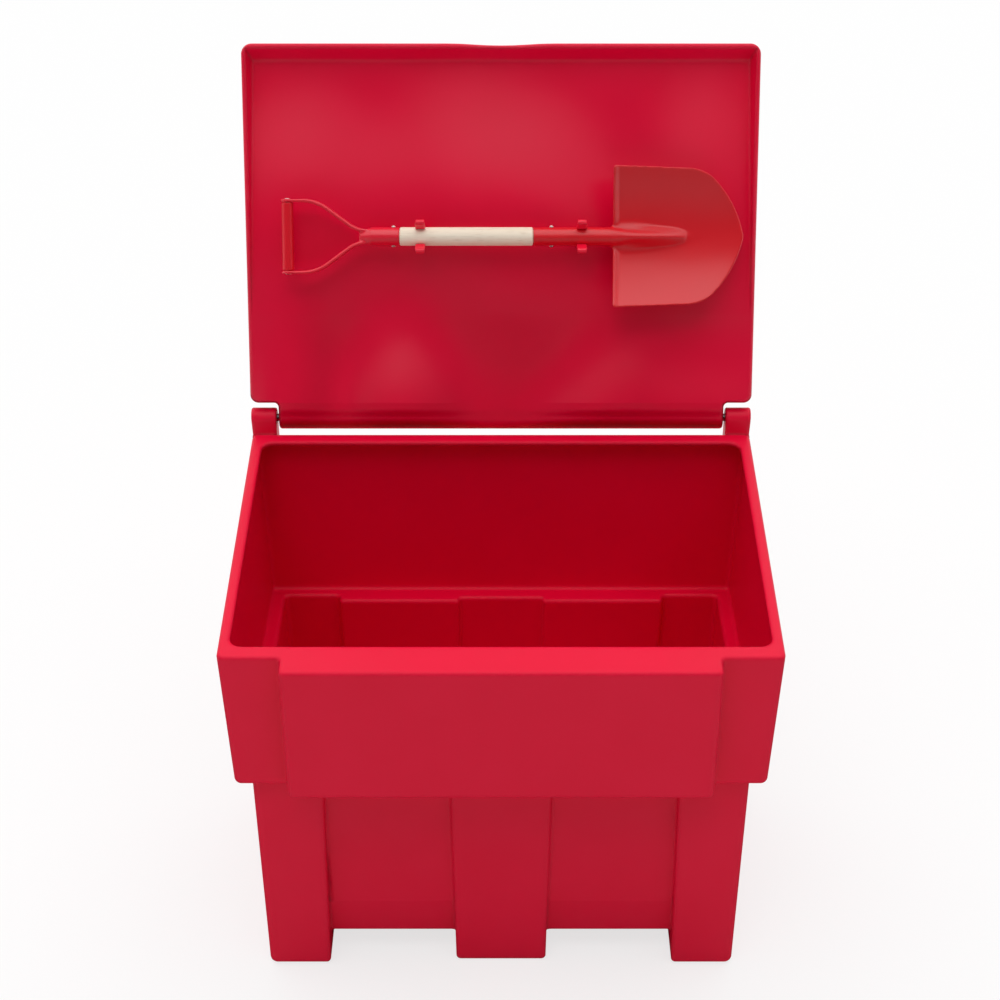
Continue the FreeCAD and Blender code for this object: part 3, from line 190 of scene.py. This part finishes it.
def stageSheet(name, corners, tone):
    mesh = bpy.data.meshes.new(name)
    mesh.from_pydata(corners, [], [(0, 1, 2, 3)])
    sheet = bpy.data.objects.new(name, mesh)
    scene.collection.objects.link(sheet)
    material, tree, shader = newMaterial(name + "Paper")
    shader.inputs["Base Color"].default_value = (tone, tone, tone, 1)
    shader.inputs["Roughness"].default_value = studio["paper"]["roughness"]
    shader.inputs["Specular IOR Level"].default_value = studio["paper"]["specular"]
    mesh.materials.append(material)
    return sheet, tree, shader


def onlyReflected(sheet):
    sheet.visible_camera = False
    sheet.visible_diffuse = False
    sheet.visible_shadow = False


def makeStudio():
    world = bpy.data.worlds.new("studioSurround")
    scene.world = world
    world.use_nodes = True
    background = world.node_tree.nodes["Background"]
    background.inputs["Color"].default_value = (1, 1, 1, 1)
    background.inputs["Strength"].default_value = studio["surround"]
    mix = whiteWhereSeen(world.node_tree, background, 1)
    world.node_tree.links.new(mix, world.node_tree.nodes["World Output"].inputs["Surface"])
    softSun("overhead", **studio["overhead"])
    softSun("key", **studio["key"])
    reach = studio["floorReach"]
    corners = [(x * reach, y * reach, 0) for x, y in ((-1, -1), (1, -1), (1, 1), (-1, 1))]
    tree, shader = stageSheet("floor", corners, studio["floorTone"])[1:]
    mix = whiteWhereSeen(tree, shader, studio["floorWhite"])
    tree.links.new(mix, tree.nodes["Material Output"].inputs["Surface"])
    card = studio["card"]
    side = card["width"] / 2
    corners = [(-side, 0), (side, 0), (side, card["height"]), (-side, card["height"])]
    corners = [(x, -card["distance"], z) for x, z in corners]
    onlyReflected(stageSheet("darkCard", corners, card["tone"])[0])
    for name, (side, front, back) in studio["mats"].items():
        corners = [(-side, front), (side, front), (side, back), (-side, back)]
        corners = [(x, y, studio["matLift"]) for x, y in corners]
        onlyReflected(stageSheet(name, corners, card["tone"])[0])


makeStudio()
print("studio set")


def middleOf(name):
    low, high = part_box(name)
    return (Vector(low) + Vector(high)) / 2


shaftMiddle = middleOf("shovel_shaft")
joints = {joint["name"]: joint for joint in frame["record"]["behaviour"]["joints"]}

# The shovel's own directions
outwards = Vector(joints["shovel_slide"]["axis"])  # off the lid's panel, as the shovel comes out
alongShaft = Vector((1, 0, 0))
downLid = (-outwards).cross(alongShaft)  # towards the hinge


def fromShaft(spot):
    offset = Vector(spot) - Vector((0, shaftMiddle.y, shaftMiddle.z))
    return offset.x, offset.dot(downLid), -offset.dot(outwards)


def onShaft(along):
    return Vector((along, shaftMiddle.y, shaftMiddle.z))


# Moulded skin: slow waves where the wall drew in as it cooled, a fine pebble and faint mottling
def makeMouldedSkin():
    inputs = {"Wave Size": 4.0, "Wave Depth": 1.0, "Pebble Size": 700.0, "Pebble Depth": 0.02,
              "Mottle Size": 11.0}
    outputs = {"Height": "NodeSocketFloat", "Mottle": "NodeSocketFloat"}
    group, given, result = newGroup("mouldedSkin", "ShaderNodeTree", inputs, outputs)
    place = addNode(group, "ShaderNodeTexCoord").outputs["Object"]
    waves = noise(group, place, given["Wave Size"], 1.0, roughness=0.3)
    pebble = noise(group, place, given["Pebble Size"], 2.0)
    slow = calculate(group, "MULTIPLY", waves, given["Wave Depth"])
    height = calculate(group, "MULTIPLY_ADD", pebble, given["Pebble Depth"], slow)
    group.links.new(height, result["Height"])
    group.links.new(noise(group, place, given["Mottle Size"], 5.0), result["Mottle"])
    return group


# Edge wear and painted highlight: a paler colour where a rounded copy of the surface turns away
# from it, broken up in patches. It stands partly for worn edges and partly for the light that
# rounded edges catch.
wearAndHighlightMask = {"turned": (0.995, 0.9), "patches": (0.35, 0.65), "share": 0.35, "dulls": 0.3, "samples": 6}


def makeEdgeWearAndHighlight():
    inputs = {"Edge Width": 0.006, "Patchiness": 30.0}
    outputs = {"Wear And Highlight": "NodeSocketFloat"}
    group, given, result = newGroup("edgeWearAndHighlight", "ShaderNodeTree", inputs, outputs)
    radius = {"Radius": given["Edge Width"]}
    rounded = addNode(group, "ShaderNodeBevel", radius, samples=wearAndHighlightMask["samples"])
    flat = addNode(group, "ShaderNodeNewGeometry").outputs["Normal"]
    alike = dotOf(group, rounded.outputs["Normal"], flat)
    edge = spread(group, alike, 0.0, 1.0, *wearAndHighlightMask["turned"])
    place = addNode(group, "ShaderNodeTexCoord").outputs["Object"]
    patches = noise(group, place, given["Patchiness"], 6.0, roughness=0.7)
    broken = spread(group, patches, 0.0, 1.0, *wearAndHighlightMask["patches"])
    group.links.new(calculate(group, "MULTIPLY", edge, broken), result["Wear And Highlight"])
    return group


mouldedSkin = makeMouldedSkin()
edgeWearAndHighlight = makeEdgeWearAndHighlight()


# A plastic's dictionary gives its colours, with the paler one its edges take (partly wear, partly a
# painted highlight), its roughness, the size and depth of its waves, and how far its edges are
# softened. A form is a group whose height is added.
def mouldedPlastic(name, look, form=None):
    material, tree, shader = newMaterial(name)
    skin = addNode(tree, "ShaderNodeGroup", node_tree=mouldedSkin)
    skin.inputs["Wave Size"].default_value = look["waveSize"]
    skin.inputs["Pebble Depth"].default_value = look["pebble"]
    edges = addNode(tree, "ShaderNodeGroup", node_tree=edgeWearAndHighlight)
    edges.inputs["Edge Width"].default_value = look["softEdge"]
    mottle = skin.outputs["Mottle"]
    plainColour = blendColours(tree, mottle, linear(*look["dark"]), linear(*look["light"]))
    share = calculate(tree, "MULTIPLY", edges.outputs["Wear And Highlight"], wearAndHighlightMask["share"])
    # Edges take the paler colour: partly worn edges, partly a painted highlight
    colour = blendColours(tree, share, plainColour, linear(*look["wearAndHighlightColour"]))
    tree.links.new(colour, shader.inputs["Base Color"])
    rough = spread(tree, mottle, *look["rough"])
    rough = calculate(tree, "MULTIPLY_ADD", share, wearAndHighlightMask["dulls"], rough)
    tree.links.new(rough, shader.inputs["Roughness"])
    shader.inputs["Specular IOR Level"].default_value = look["specular"]
    radius = {"Radius": look["softEdge"]}
    soft = addNode(tree, "ShaderNodeBevel", radius, samples=wearAndHighlightMask["samples"])
    height = calculate(tree, "MULTIPLY", skin.outputs["Height"], look["waves"])
    if form:
        drawn = addNode(tree, "ShaderNodeGroup", node_tree=form)
        height = calculate(tree, "ADD", height, drawn.outputs["Height"])
    relief = addNode(tree, "ShaderNodeBump", {
        "Strength": 1.0, "Distance": 1.0, "Height": height, "Normal": soft.outputs["Normal"],
    })
    tree.links.new(relief.outputs["Normal"], shader.inputs["Normal"])
    return material


def dress(material, *names):
    for name in names:
        mesh = nodes[name].data
        mesh.materials.clear()
        mesh.materials.append(material)
        print("dressed", name)


# Tub and the plugs of its lugs
tub = {
    "light": (230, 8, 58), "dark": (223, 3, 52), "wearAndHighlightColour": (228, 60, 78), "rough": (0.36, 0.44),
    "specular": 0.25, "waveSize": 3.4, "waves": 0.012, "pebble": 0.012, "softEdge": 0.008,
}
dress(mouldedPlastic("binPlastic", tub), "tub", "rod_end_plugs")

# Lid: its inner skin bulged as it cooled. Each swell has its place across and up from the hinge
# line, its turn in degrees, and its length, width and height. Further behind the shaft than skin,
# only outerShare of them is left, so the outer skin stays even.
lid = {
    "light": (230, 8, 60), "dark": (223, 3, 54), "wearAndHighlightColour": (228, 60, 78), "rough": (0.285, 0.335),
    "specular": 0.36, "waveSize": 3.4, "waves": 0.012, "pebble": 0.008, "softEdge": 0.007,
    "lean": 20, "skin": 0.038, "skinFade": 0.01, "outerShare": 0.1,
    "swells": (
        (-0.30, 0.29, 90, 0.28, 0.22, 0.033),
        (0.02, 0.29, -40, 0.34, 0.26, 0.042),
        (0.31, 0.29, 90, 0.28, 0.16, 0.030),
        (-0.16, -0.05, 88, 0.28, 0.15, 0.048),
        (0.16, -0.04, 66, 0.28, 0.17, 0.048),
        (0.33, -0.05, 90, 0.24, 0.13, 0.036),
        (-0.33, -0.02, 90, 0.28, 0.12, 0.038),
    ),
}


def makeLidSwells():
    inputs = {"Skin": lid["skin"], "Outer Share": lid["outerShare"]}
    outputs = {"Height": "NodeSocketFloat"}
    group, given, result = newGroup("lidSwells", "ShaderNodeTree", inputs, outputs)
    place = addNode(group, "ShaderNodeTexCoord").outputs["Object"]
    hinge = joints["lid_hinge"]["pos_m"]
    lean = math.radians(lid["lean"])
    total = 0.0
    for across, up, turned, length, width, height in lid["swells"]:
        spot = (across, hinge[1] + up * math.sin(lean), hinge[2] + up * math.cos(lean))
        turn = Matrix.Rotation(math.pi / 2 - lean, 3, "X")
        turn = turn @ Matrix.Rotation(math.radians(turned), 3, "Z")
        swell = addNode(group, "ShaderNodeMapping", {
            "Vector": place, "Location": spot, "Rotation": turn.to_euler(),
            "Scale": (length, width, 1),
        }, vector_type="TEXTURE")
        inputs = {0: swell.outputs["Vector"]}
        away = addNode(group, "ShaderNodeVectorMath", inputs, operation="LENGTH")
        rise = addNode(group, "ShaderNodeMapRange", {
            "Value": away.outputs["Value"], "From Min": 1.0, "From Max": 0.0, "To Max": height,
        }, interpolation_type="SMOOTHERSTEP")
        total = calculate(group, "ADD", total, rise.outputs["Result"])
    offset = addNode(group, "ShaderNodeVectorMath", {0: place, 1: shaftMiddle},
                     operation="SUBTRACT")
    deep = dotOf(group, offset.outputs["Vector"], -outwards)
    outer = calculate(group, "ADD", given["Skin"], lid["skinFade"])
    inside = spread(group, deep, 1.0, given["Outer Share"], given["Skin"], outer)
    group.links.new(calculate(group, "MULTIPLY", total, inside), result["Height"])
    return group


dress(mouldedPlastic("lidPlastic", lid, makeLidSwells()), "lid")


# A metal's dictionary gives its bright and dull colours, its roughness, the scale of the fine lines
# that drawing or plating left, that of its dull spots, and how much of it they take
def makeMetal(name, look):
    material, tree, shader = newMaterial(name)
    place = addNode(tree, "ShaderNodeTexCoord").outputs["Object"]
    stretched = addNode(tree, "ShaderNodeMapping", {"Vector": place, "Scale": look["lines"]})
    lines = noise(tree, stretched.outputs["Vector"], 1.0, 3.0)
    spots = noise(tree, place, look["spots"], 5.0, roughness=0.65)
    dull = spread(tree, spots, 0.0, 1.0, *look["dulled"])
    colour = blendColours(tree, dull, linear(*look["bright"]), linear(*look["dull"]))
    tree.links.new(colour, shader.inputs["Base Color"])
    shader.inputs["Metallic"].default_value = 1
    tree.links.new(spread(tree, dull, *look["rough"]), shader.inputs["Roughness"])
    relief = addNode(tree, "ShaderNodeBump", {
        "Strength": 0.5, "Distance": look["relief"], "Height": lines,
    })
    tree.links.new(relief.outputs["Normal"], shader.inputs["Normal"])
    return material


hingeRod = {
    "bright": (150, 148, 150), "dull": (78, 74, 74), "rough": (0.26, 0.5),
    "lines": (30, 900, 900), "spots": 60.0, "dulled": (0.42, 0.68), "relief": 0.00008,
}
dress(makeMetal("rodSteel", hingeRod), "hinge_rod")

# Shaft: pale streaks and short dark pores along the wood, over slow bands of heartwood
shaft = {
    "pale": (255, 246, 230), "deep": (240, 219, 190), "pore": (168, 132, 96),
    "streaks": (7, 210, 210), "bands": (1.6, 34, 34), "pores": (45, 1300, 1300),
    "streakShare": 0.75, "bandShare": 0.3, "poreShare": 0.4, "wander": 0.3,
    "bandRange": (0.35, 0.65), "poreRange": (0.6, 0.75),
    "rough": (0.36, 0.52), "specular": 0.6, "relief": 0.00012,
}


def makeWood():
    material, tree, shader = newMaterial("shaftWood")
    place = addNode(tree, "ShaderNodeTexCoord").outputs["Object"]
    patterns = {}
    for name, detail in (("streaks", 6.0), ("bands", 2.0), ("pores", 1.0)):
        stretched = addNode(tree, "ShaderNodeMapping", {"Vector": place, "Scale": shaft[name]})
        along = stretched.outputs["Vector"]
        patterns[name] = noise(tree, along, 1.0, detail, distortion=shaft["wander"])
    bands = spread(tree, patterns["bands"], 0.0, shaft["bandShare"], *shaft["bandRange"])
    share = calculate(tree, "MULTIPLY_ADD", patterns["streaks"], shaft["streakShare"], bands)
    colour = blendColours(tree, share, linear(*shaft["pale"]), linear(*shaft["deep"]))
    pores = spread(tree, patterns["pores"], 0.0, shaft["poreShare"], *shaft["poreRange"])
    colour = blendColours(tree, pores, colour, linear(*shaft["pore"]))
    tree.links.new(colour, shader.inputs["Base Color"])
    tree.links.new(spread(tree, patterns["streaks"], *shaft["rough"]), shader.inputs["Roughness"])
    shader.inputs["Specular IOR Level"].default_value = shaft["specular"]
    depth = calculate(tree, "SUBTRACT", patterns["streaks"], pores)
    relief = addNode(tree, "ShaderNodeBump", {
        "Strength": 0.6, "Distance": shaft["relief"], "Height": depth,
    })
    tree.links.new(relief.outputs["Normal"], shader.inputs["Normal"])
    return material


dress(makeWood(), "shovel_shaft")


def finishPiece(piece, mesh, material, body, replaced, sharpAngle=40):
    piece.modifiers.clear()
    piece.data = mesh
    mesh.materials.clear()
    mesh.materials.append(material)
    mesh.shade_smooth()
    mesh.set_sharp_from_angle(angle=math.radians(sharpAngle))
    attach(piece, body)
    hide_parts(replaced)
    print("made", piece.name, "with", len(mesh.polygons), "faces")


def appliedMesh(piece):
    depsgraph = bpy.context.evaluated_depsgraph_get()
    return bpy.data.meshes.new_from_object(piece.evaluated_get(depsgraph))


def swollen(piece, distance):
    swell = piece.modifiers.new("swollen", "DISPLACE")
    swell.strength = distance
    swell.mid_level = 0


def evenNet(piece, size):
    net = piece.modifiers.new("evenNet", "REMESH")
    net.mode = "VOXEL"
    net.voxel_size = size


# A moulded copy of a node gets an even net of small faces, swells and shrinks back, which fills its
# inner corners, and is then smoothed, so that every edge has the small round that a mould leaves.
# The function before adds to the copy, and the function after shapes the net.
def mouldedCopy(name, node, look, material, body, before=None, after=None):
    mesh = nodes[node].data.copy()
    piece = bpy.data.objects.new(name, mesh)
    scene.collection.objects.link(piece)
    form = bmesh.new()
    form.from_mesh(mesh)
    bmesh.ops.remove_doubles(form, verts=form.verts, dist=0.00001)
    if before:
        before(form, middleOf(node))
    form.to_mesh(mesh)
    form.free()
    evenNet(piece, look["net"])
    if look["fillet"]:
        swollen(piece, look["fillet"])
        evenNet(piece, look["net"])
        swollen(piece, -look["fillet"])
        evenNet(piece, look["net"])
    smooth = piece.modifiers.new("softened", "SMOOTH")
    smooth.factor = 0.5
    smooth.iterations = look["rounds"]
    mesh = appliedMesh(piece)
    if after:
        after(mesh)
    finishPiece(piece, mesh, material, body, node, sharpAngle=180)


def clamp(value):
    return min(max(value, 0.0), 1.0)


# Blade: its flat parts are shaded as a shallow dish, more so towards its two long edges. Its frog
# is a thumb that swells up and ends in a round, its back edge turns up into the footrests, and its
# back corners reach out straight. The ridge is what is smoothed before and after that, and only
# what faces out of the lid rises.
blade = {
    "light": (226, 5, 34), "dark": (218, 2, 28), "wearAndHighlightColour": (228, 88, 88), "rough": (0.3, 0.38),
    "specular": 0.95, "waveSize": 16.0, "waves": 0.0012, "pebble": 0.02, "softEdge": 0.0015,
    "dish": 0.3, "net": 0.00135, "fillet": 0.004, "rounds": 4, "back": 0.174,
    "facing": {"from": 0.1, "fade": 0.3},
    "ridge": {"start": 0.008, "past": 0.016, "half": 0.034, "rounds": 30, "lastRounds": 3},
    "frog": {
        "from": 0.18, "to": 0.284, "rise": 0.0055, "backHalf": 0.019, "frontHalf": 0.013,
        "swollenAt": 0.45, "roundAt": 0.72, "tip": 0.4,
    },
    "footrest": {"rise": 0.0045, "width": 0.009, "clearOfFrog": 0.022, "fade": 0.006, "curl": 1.5},
    "corners": {"reach": 0.005, "half": 0.107, "fade": 0.06},
}


def makeBladeDish():
    inputs, outputs = {"Depth": blade["dish"]}, {"Height": "NodeSocketFloat"}
    group, given, result = newGroup("bladeDish", "ShaderNodeTree", inputs, outputs)
    place = addNode(group, "ShaderNodeTexCoord").outputs["Object"]
    offset = addNode(group, "ShaderNodeVectorMath", {0: place, 1: shaftMiddle},
                     operation="SUBTRACT")
    across = dotOf(group, offset.outputs["Vector"], downLid)
    squared = calculate(group, "MULTIPLY", across, across)
    height = calculate(group, "MULTIPLY", squared, given["Depth"])
    group.links.new(height, result["Height"])
    return group


def thumbRise(along, across):
    frog = blade["frog"]
    share = (along - frog["from"]) / (frog["to"] - frog["from"])
    if not 0 < share < 1:
        return 0
    roundEnd = math.sqrt(1 - clamp((share - frog["roundAt"]) / (1 - frog["roundAt"])) ** 2)
    half = frog["backHalf"] + (frog["frontHalf"] - frog["backHalf"]) * share
    half *= frog["tip"] + (1 - frog["tip"]) * roundEnd
    swell = clamp(share / frog["swollenAt"])
    swell *= swell * (3 - 2 * swell)
    return frog["rise"] * swell * roundEnd * max(1 - (across / half) ** 2, 0)


def smoothPoints(form, points, rounds):
    for turn in range(rounds):
        bmesh.ops.smooth_vert(form, verts=points, factor=0.5,
                              use_axis_x=True, use_axis_y=True, use_axis_z=True)


def shapeBlade(mesh):
    facing, ridge = blade["facing"], blade["ridge"]
    footrest, corners = blade["footrest"], blade["corners"]
    ridgeStart = blade["back"] + ridge["start"]
    ridgeEnd = blade["frog"]["to"] + ridge["past"]
    form = bmesh.new()
    form.from_mesh(mesh)
    places = {point: fromShaft(point.co) for point in form.verts}
    ridgePoints = [point for point, (along, across, deep) in places.items()
                   if ridgeStart < along < ridgeEnd and abs(across) < ridge["half"]]
    smoothPoints(form, ridgePoints, ridge["rounds"])
    form.normal_update()
    for point, (along, across, deep) in places.items():
        turned = clamp((point.normal.dot(outwards) - facing["from"]) / facing["fade"])
        rise = thumbRise(along, across) * turned
        start = along - blade["back"]
        beside = abs(across) - footrest["clearOfFrog"] + footrest["fade"]
        if start > -footrest["fade"] and beside > 0:
            away = clamp(beside / (2 * footrest["fade"]))
            near = clamp(1 - start / footrest["width"])
            rise += footrest["rise"] * away * near ** footrest["curl"]
            side = (across / corners["half"]) ** 2
            point.co -= alongShaft * corners["reach"] * side * clamp(1 - start / corners["fade"])
        point.co += outwards * rise
    smoothPoints(form, ridgePoints, ridge["lastRounds"])
    form.to_mesh(mesh)
    form.free()


bladePlastic = mouldedPlastic("bladePlastic", blade, makeBladeDish())
mouldedCopy("shovelBlade", "shovel_blade", blade, bladePlastic,
            "shovel", after=shapeBlade)

# Yoke: a web fills the fork of the handle, as the mould does, given by its two ends along the
# shaft, its radii and its flatness. The straps get a little more flesh between two places.
yoke = {
    "light": (238, 20, 54), "dark": (230, 14, 48), "wearAndHighlightColour": (236, 96, 104), "rough": (0.3, 0.38),
    "specular": 1.0, "waveSize": 16.0, "waves": 0.0012, "pebble": 0.02, "softEdge": 0.0015,
    "net": 0.0009, "fillet": 0.003, "rounds": 8,
    "web": {
        "start": -0.195, "end": -0.2085, "startRadius": 0.0125, "endRadius": 0.007,
        "flatness": 0.62,
    },
    "flesh": {"from": -0.312, "to": -0.205, "fade": 0.02, "thickness": 0.0009},
}


def addWeb(form, middle):
    web = yoke["web"]
    turn = Matrix((alongShaft, downLid, -outwards)).transposed().to_4x4()
    spot = onShaft((web["start"] + web["end"]) / 2)
    place = Matrix.Translation(spot) @ turn @ Matrix.Diagonal((1, 1, web["flatness"], 1))
    place = place @ Matrix.Rotation(math.pi / 2, 4, "Y")
    bmesh.ops.create_cone(form, cap_ends=True, segments=32, radius1=web["endRadius"],
                          radius2=web["startRadius"], depth=web["start"] - web["end"], matrix=place)


def thickenStraps(mesh):
    flesh = yoke["flesh"]
    normals = [corner.normal.copy() for corner in mesh.vertices]
    for corner, normal in zip(mesh.vertices, normals):
        along = fromShaft(corner.co)[0]
        share = min(along - flesh["from"], flesh["to"] - along, flesh["fade"]) / flesh["fade"]
        if share > 0:
            corner.co += normal * flesh["thickness"] * share


mouldedCopy("handleYoke", "handle_yoke", yoke, mouldedPlastic("yokePlastic", yoke),
            "shovel", before=addWeb, after=thickenStraps)

grip = {
    "light": (226, 18, 42), "dark": (218, 12, 36), "wearAndHighlightColour": (222, 60, 66), "rough": (0.34, 0.42),
    "specular": 0.5, "waveSize": 16.0, "waves": 0.0012, "pebble": 0.02, "softEdge": 0.0015,
    "net": 0.0009, "fillet": 0.0, "rounds": 8,
}
mouldedCopy("handleGrip", "handle_grip", grip, mouldedPlastic("gripPlastic", grip),
            "shovel")

# Clips: their fingers end in round beads, given by radius, length, and how far off the shaft's line
# and forward they sit
clip = {
    "light": (246, 22, 60), "dark": (238, 16, 54), "wearAndHighlightColour": (244, 96, 108), "rough": (0.36, 0.44),
    "specular": 0.7, "waveSize": 30.0, "waves": 0.0006, "pebble": 0.02, "softEdge": 0.001,
    "net": 0.0006, "fillet": 0.001, "rounds": 5,
    "bead": {"radius": 0.0043, "length": 0.0135, "off": 0.0212, "forward": 0.0225},
}


def addBeads(form, middle):
    bead = clip["bead"]
    for side in (-1, 1):
        spot = onShaft(middle.x) + downLid * side * bead["off"] + outwards * bead["forward"]
        place = Matrix.Translation(spot) @ Matrix.Rotation(math.pi / 2, 4, "Y")
        bmesh.ops.create_cone(form, cap_ends=True, segments=32, radius1=bead["radius"],
                              radius2=bead["radius"], depth=bead["length"], matrix=place)


clipPlastic = mouldedPlastic("clipPlastic", clip)
clips = {"leftShovelClip": "left_shovel_clip", "rightShovelClip": "right_shovel_clip"}
for name, node in clips.items():
    mouldedCopy(name, node, clip, clipPlastic, "lid", before=addBeads)

# Rivets, pin and screws: one tree sets a flanged, domed head and its shank on each seat
fastener = {
    "Head Radius": 0.0036, "Head Height": 0.0031, "Flange": 0.2, "Shank Radius": 0.002,
    "Shank Length": 0.014, "Recess Width": 0.0011, "Recess Depth": 0.0012, "Cross Recess": False,
}
headForm = {"sides": 36, "rings": 18, "shankSides": 24, "dome": 0.88, "sunk": 0.9, "reach": 1.25,
            "weld": 0.001}
fastenerSteel = {
    "bright": (255, 250, 244), "dull": (226, 216, 208), "rough": (0.4, 0.55),
    "lines": (500, 500, 500), "spots": 260.0, "dulled": (0.42, 0.68), "relief": 0.00008,
}
rivetSteel = makeMetal("rivetSteel", fastenerSteel)


def makeFastenerTree():
    inputs, outputs = {"Seats": None, **fastener}, {"Fasteners": "NodeSocketGeometry"}
    tree, given, result = newGroup("fastenerHeads", "GeometryNodeTree", inputs, outputs)
    sides = headForm["sides"]

    def vector(x, y, z):
        return addNode(tree, "ShaderNodeCombineXYZ", {"X": x, "Y": y, "Z": z}).outputs["Vector"]

    def moved(geometry, shift, scale=None):
        inputs = {"Geometry": geometry, "Translation": shift}
        if scale:
            inputs["Scale"] = scale
        return addNode(tree, "GeometryNodeTransform", inputs).outputs["Geometry"]

    ball = addNode(tree, "GeometryNodeMeshUVSphere", {
        "Segments": sides, "Rings": headForm["rings"], "Radius": 1.0,
    })
    position = addNode(tree, "GeometryNodeInputPosition").outputs["Position"]
    height = addNode(tree, "ShaderNodeSeparateXYZ", {"Vector": position}).outputs["Z"]
    below = calculate(tree, "LESS_THAN", height, -headForm["weld"])
    dome = addNode(tree, "GeometryNodeDeleteGeometry",
                   {"Geometry": ball.outputs["Mesh"], "Selection": below})
    base = addNode(tree, "GeometryNodeMeshCircle", {"Vertices": sides, "Radius": 1.0},
                   fill_type="NGON")
    base = addNode(tree, "GeometryNodeFlipFaces", {"Mesh": base.outputs["Mesh"]}).outputs["Mesh"]
    dome = addNode(tree, "GeometryNodeJoinGeometry", {"Geometry": dome.outputs["Geometry"]})
    tree.links.new(base, dome.inputs["Geometry"])
    dome = addNode(tree, "GeometryNodeMergeByDistance",
                   {"Geometry": dome.outputs["Geometry"], "Distance": headForm["weld"]})
    flange = calculate(tree, "MULTIPLY", given["Head Height"], given["Flange"])
    domeRadius = calculate(tree, "MULTIPLY", given["Head Radius"], headForm["dome"])
    domeHeight = calculate(tree, "SUBTRACT", given["Head Height"], flange)
    sunk = calculate(tree, "MULTIPLY", flange, headForm["sunk"])
    dome = moved(dome.outputs["Geometry"], vector(0.0, 0.0, sunk),
                 vector(domeRadius, domeRadius, domeHeight))
    plate = addNode(tree, "GeometryNodeMeshCylinder",
                    {"Vertices": sides, "Radius": given["Head Radius"], "Depth": flange})
    plate = moved(plate.outputs["Mesh"], vector(0.0, 0.0, calculate(tree, "MULTIPLY", flange, 0.5)))
    shank = addNode(tree, "GeometryNodeMeshCylinder", {
        "Vertices": headForm["shankSides"], "Radius": given["Shank Radius"],
        "Depth": given["Shank Length"],
    })
    below = calculate(tree, "MULTIPLY", given["Shank Length"], -0.5)
    shank = moved(shank.outputs["Mesh"], vector(0.0, 0.0, below))
    across = calculate(tree, "MULTIPLY", given["Head Radius"], headForm["reach"])
    depth = calculate(tree, "MULTIPLY", given["Recess Depth"], 2.0)
    crossed = addNode(tree, "GeometryNodeMeshBoolean", {"Mesh 1": dome},
                      operation="DIFFERENCE", solver="EXACT")
    for x, y in ((across, given["Recess Width"]), (given["Recess Width"], across)):
        slot = addNode(tree, "GeometryNodeMeshCube", {"Size": vector(x, y, depth)}).outputs["Mesh"]
        slot = moved(slot, vector(0.0, 0.0, given["Head Height"]))
        tree.links.new(slot, crossed.inputs["Mesh 2"])
    crossed = crossed.outputs["Mesh"]
    choice = {"Switch": given["Cross Recess"], "False": dome, "True": crossed}
    top = addNode(tree, "GeometryNodeSwitch", choice, input_type="GEOMETRY").outputs["Output"]
    whole = addNode(tree, "GeometryNodeJoinGeometry")
    for part in (top, plate, shank):
        tree.links.new(part, whole.inputs["Geometry"])
    facing = addNode(tree, "GeometryNodeInputNamedAttribute", {"Name": "facing"},
                     data_type="FLOAT_VECTOR")
    turn = addNode(tree, "FunctionNodeAlignRotationToVector",
                   {"Vector": facing.outputs["Attribute"]}, axis="Z")
    placed = addNode(tree, "GeometryNodeInstanceOnPoints", {
        "Points": given["Seats"], "Instance": whole.outputs["Geometry"],
        "Rotation": turn.outputs["Rotation"],
    })
    real = addNode(tree, "GeometryNodeRealizeInstances", {"Geometry": placed.outputs["Instances"]})
    coated = addNode(tree, "GeometryNodeSetMaterial",
                     {"Geometry": real.outputs["Geometry"], "Material": rivetSteel})
    tree.links.new(coated.outputs["Geometry"], result["Fasteners"])
    return tree


fastenerHeads = makeFastenerTree()


def setFasteners(name, seats, sizes, body, replaced):
    mesh = bpy.data.meshes.new(name)
    mesh.from_pydata([seat for seat, facing in seats], [], [])
    facings = mesh.attributes.new("facing", "FLOAT_VECTOR", "POINT")
    for index, (seat, facing) in enumerate(seats):
        facings.data[index].vector = facing
    piece = bpy.data.objects.new(name, mesh)
    scene.collection.objects.link(piece)
    modifier = piece.modifiers.new("heads", "NODES")
    modifier.node_group = fastenerHeads
    for item in fastenerHeads.interface.items_tree:
        if item.in_out == "INPUT" and item.name in fastener:
            modifier[item.identifier] = sizes.get(item.name, fastener[item.name])
    finishPiece(piece, appliedMesh(piece), rivetSteel, body, replaced)


# A pin's two heads sit on both sides of what it holds, along the line down the lid
def pinSeats(node, half):
    middle = middleOf(node)
    return [(middle + downLid * half * side, downLid * side) for side in (-1, 1)]


length = fastener["Shank Length"]
setFasteners("socketRivet", pinSeats("socket_rivet", length), {}, "shovel", "socket_rivet")
setFasteners("yokeRivet", pinSeats("yoke_rivet", length), {}, "shovel", "yoke_rivet")

gripPin = {"Head Radius": 0.005, "Head Height": 0.0016, "Shank Radius": 0.003,
           "Shank Length": 0.0565}
length = gripPin["Shank Length"]
setFasteners("gripRivet", pinSeats("grip_rivet", length), gripPin, "shovel", "grip_rivet")

clipScrew = {"Head Radius": 0.004, "Head Height": 0.0022, "Shank Radius": 0.0019,
             "Shank Length": 0.014, "Cross Recess": True}
screwPlace = {"apart": 0.246, "deep": 0.026}
screwSeats = [(onShaft(side * screwPlace["apart"] / 2) - outwards * screwPlace["deep"], outwards)
              for side in (-1, 1)]
setFasteners("clipScrews", screwSeats, clipScrew, "lid", "clip_screws")

scene.view_settings.view_transform = "Standard"
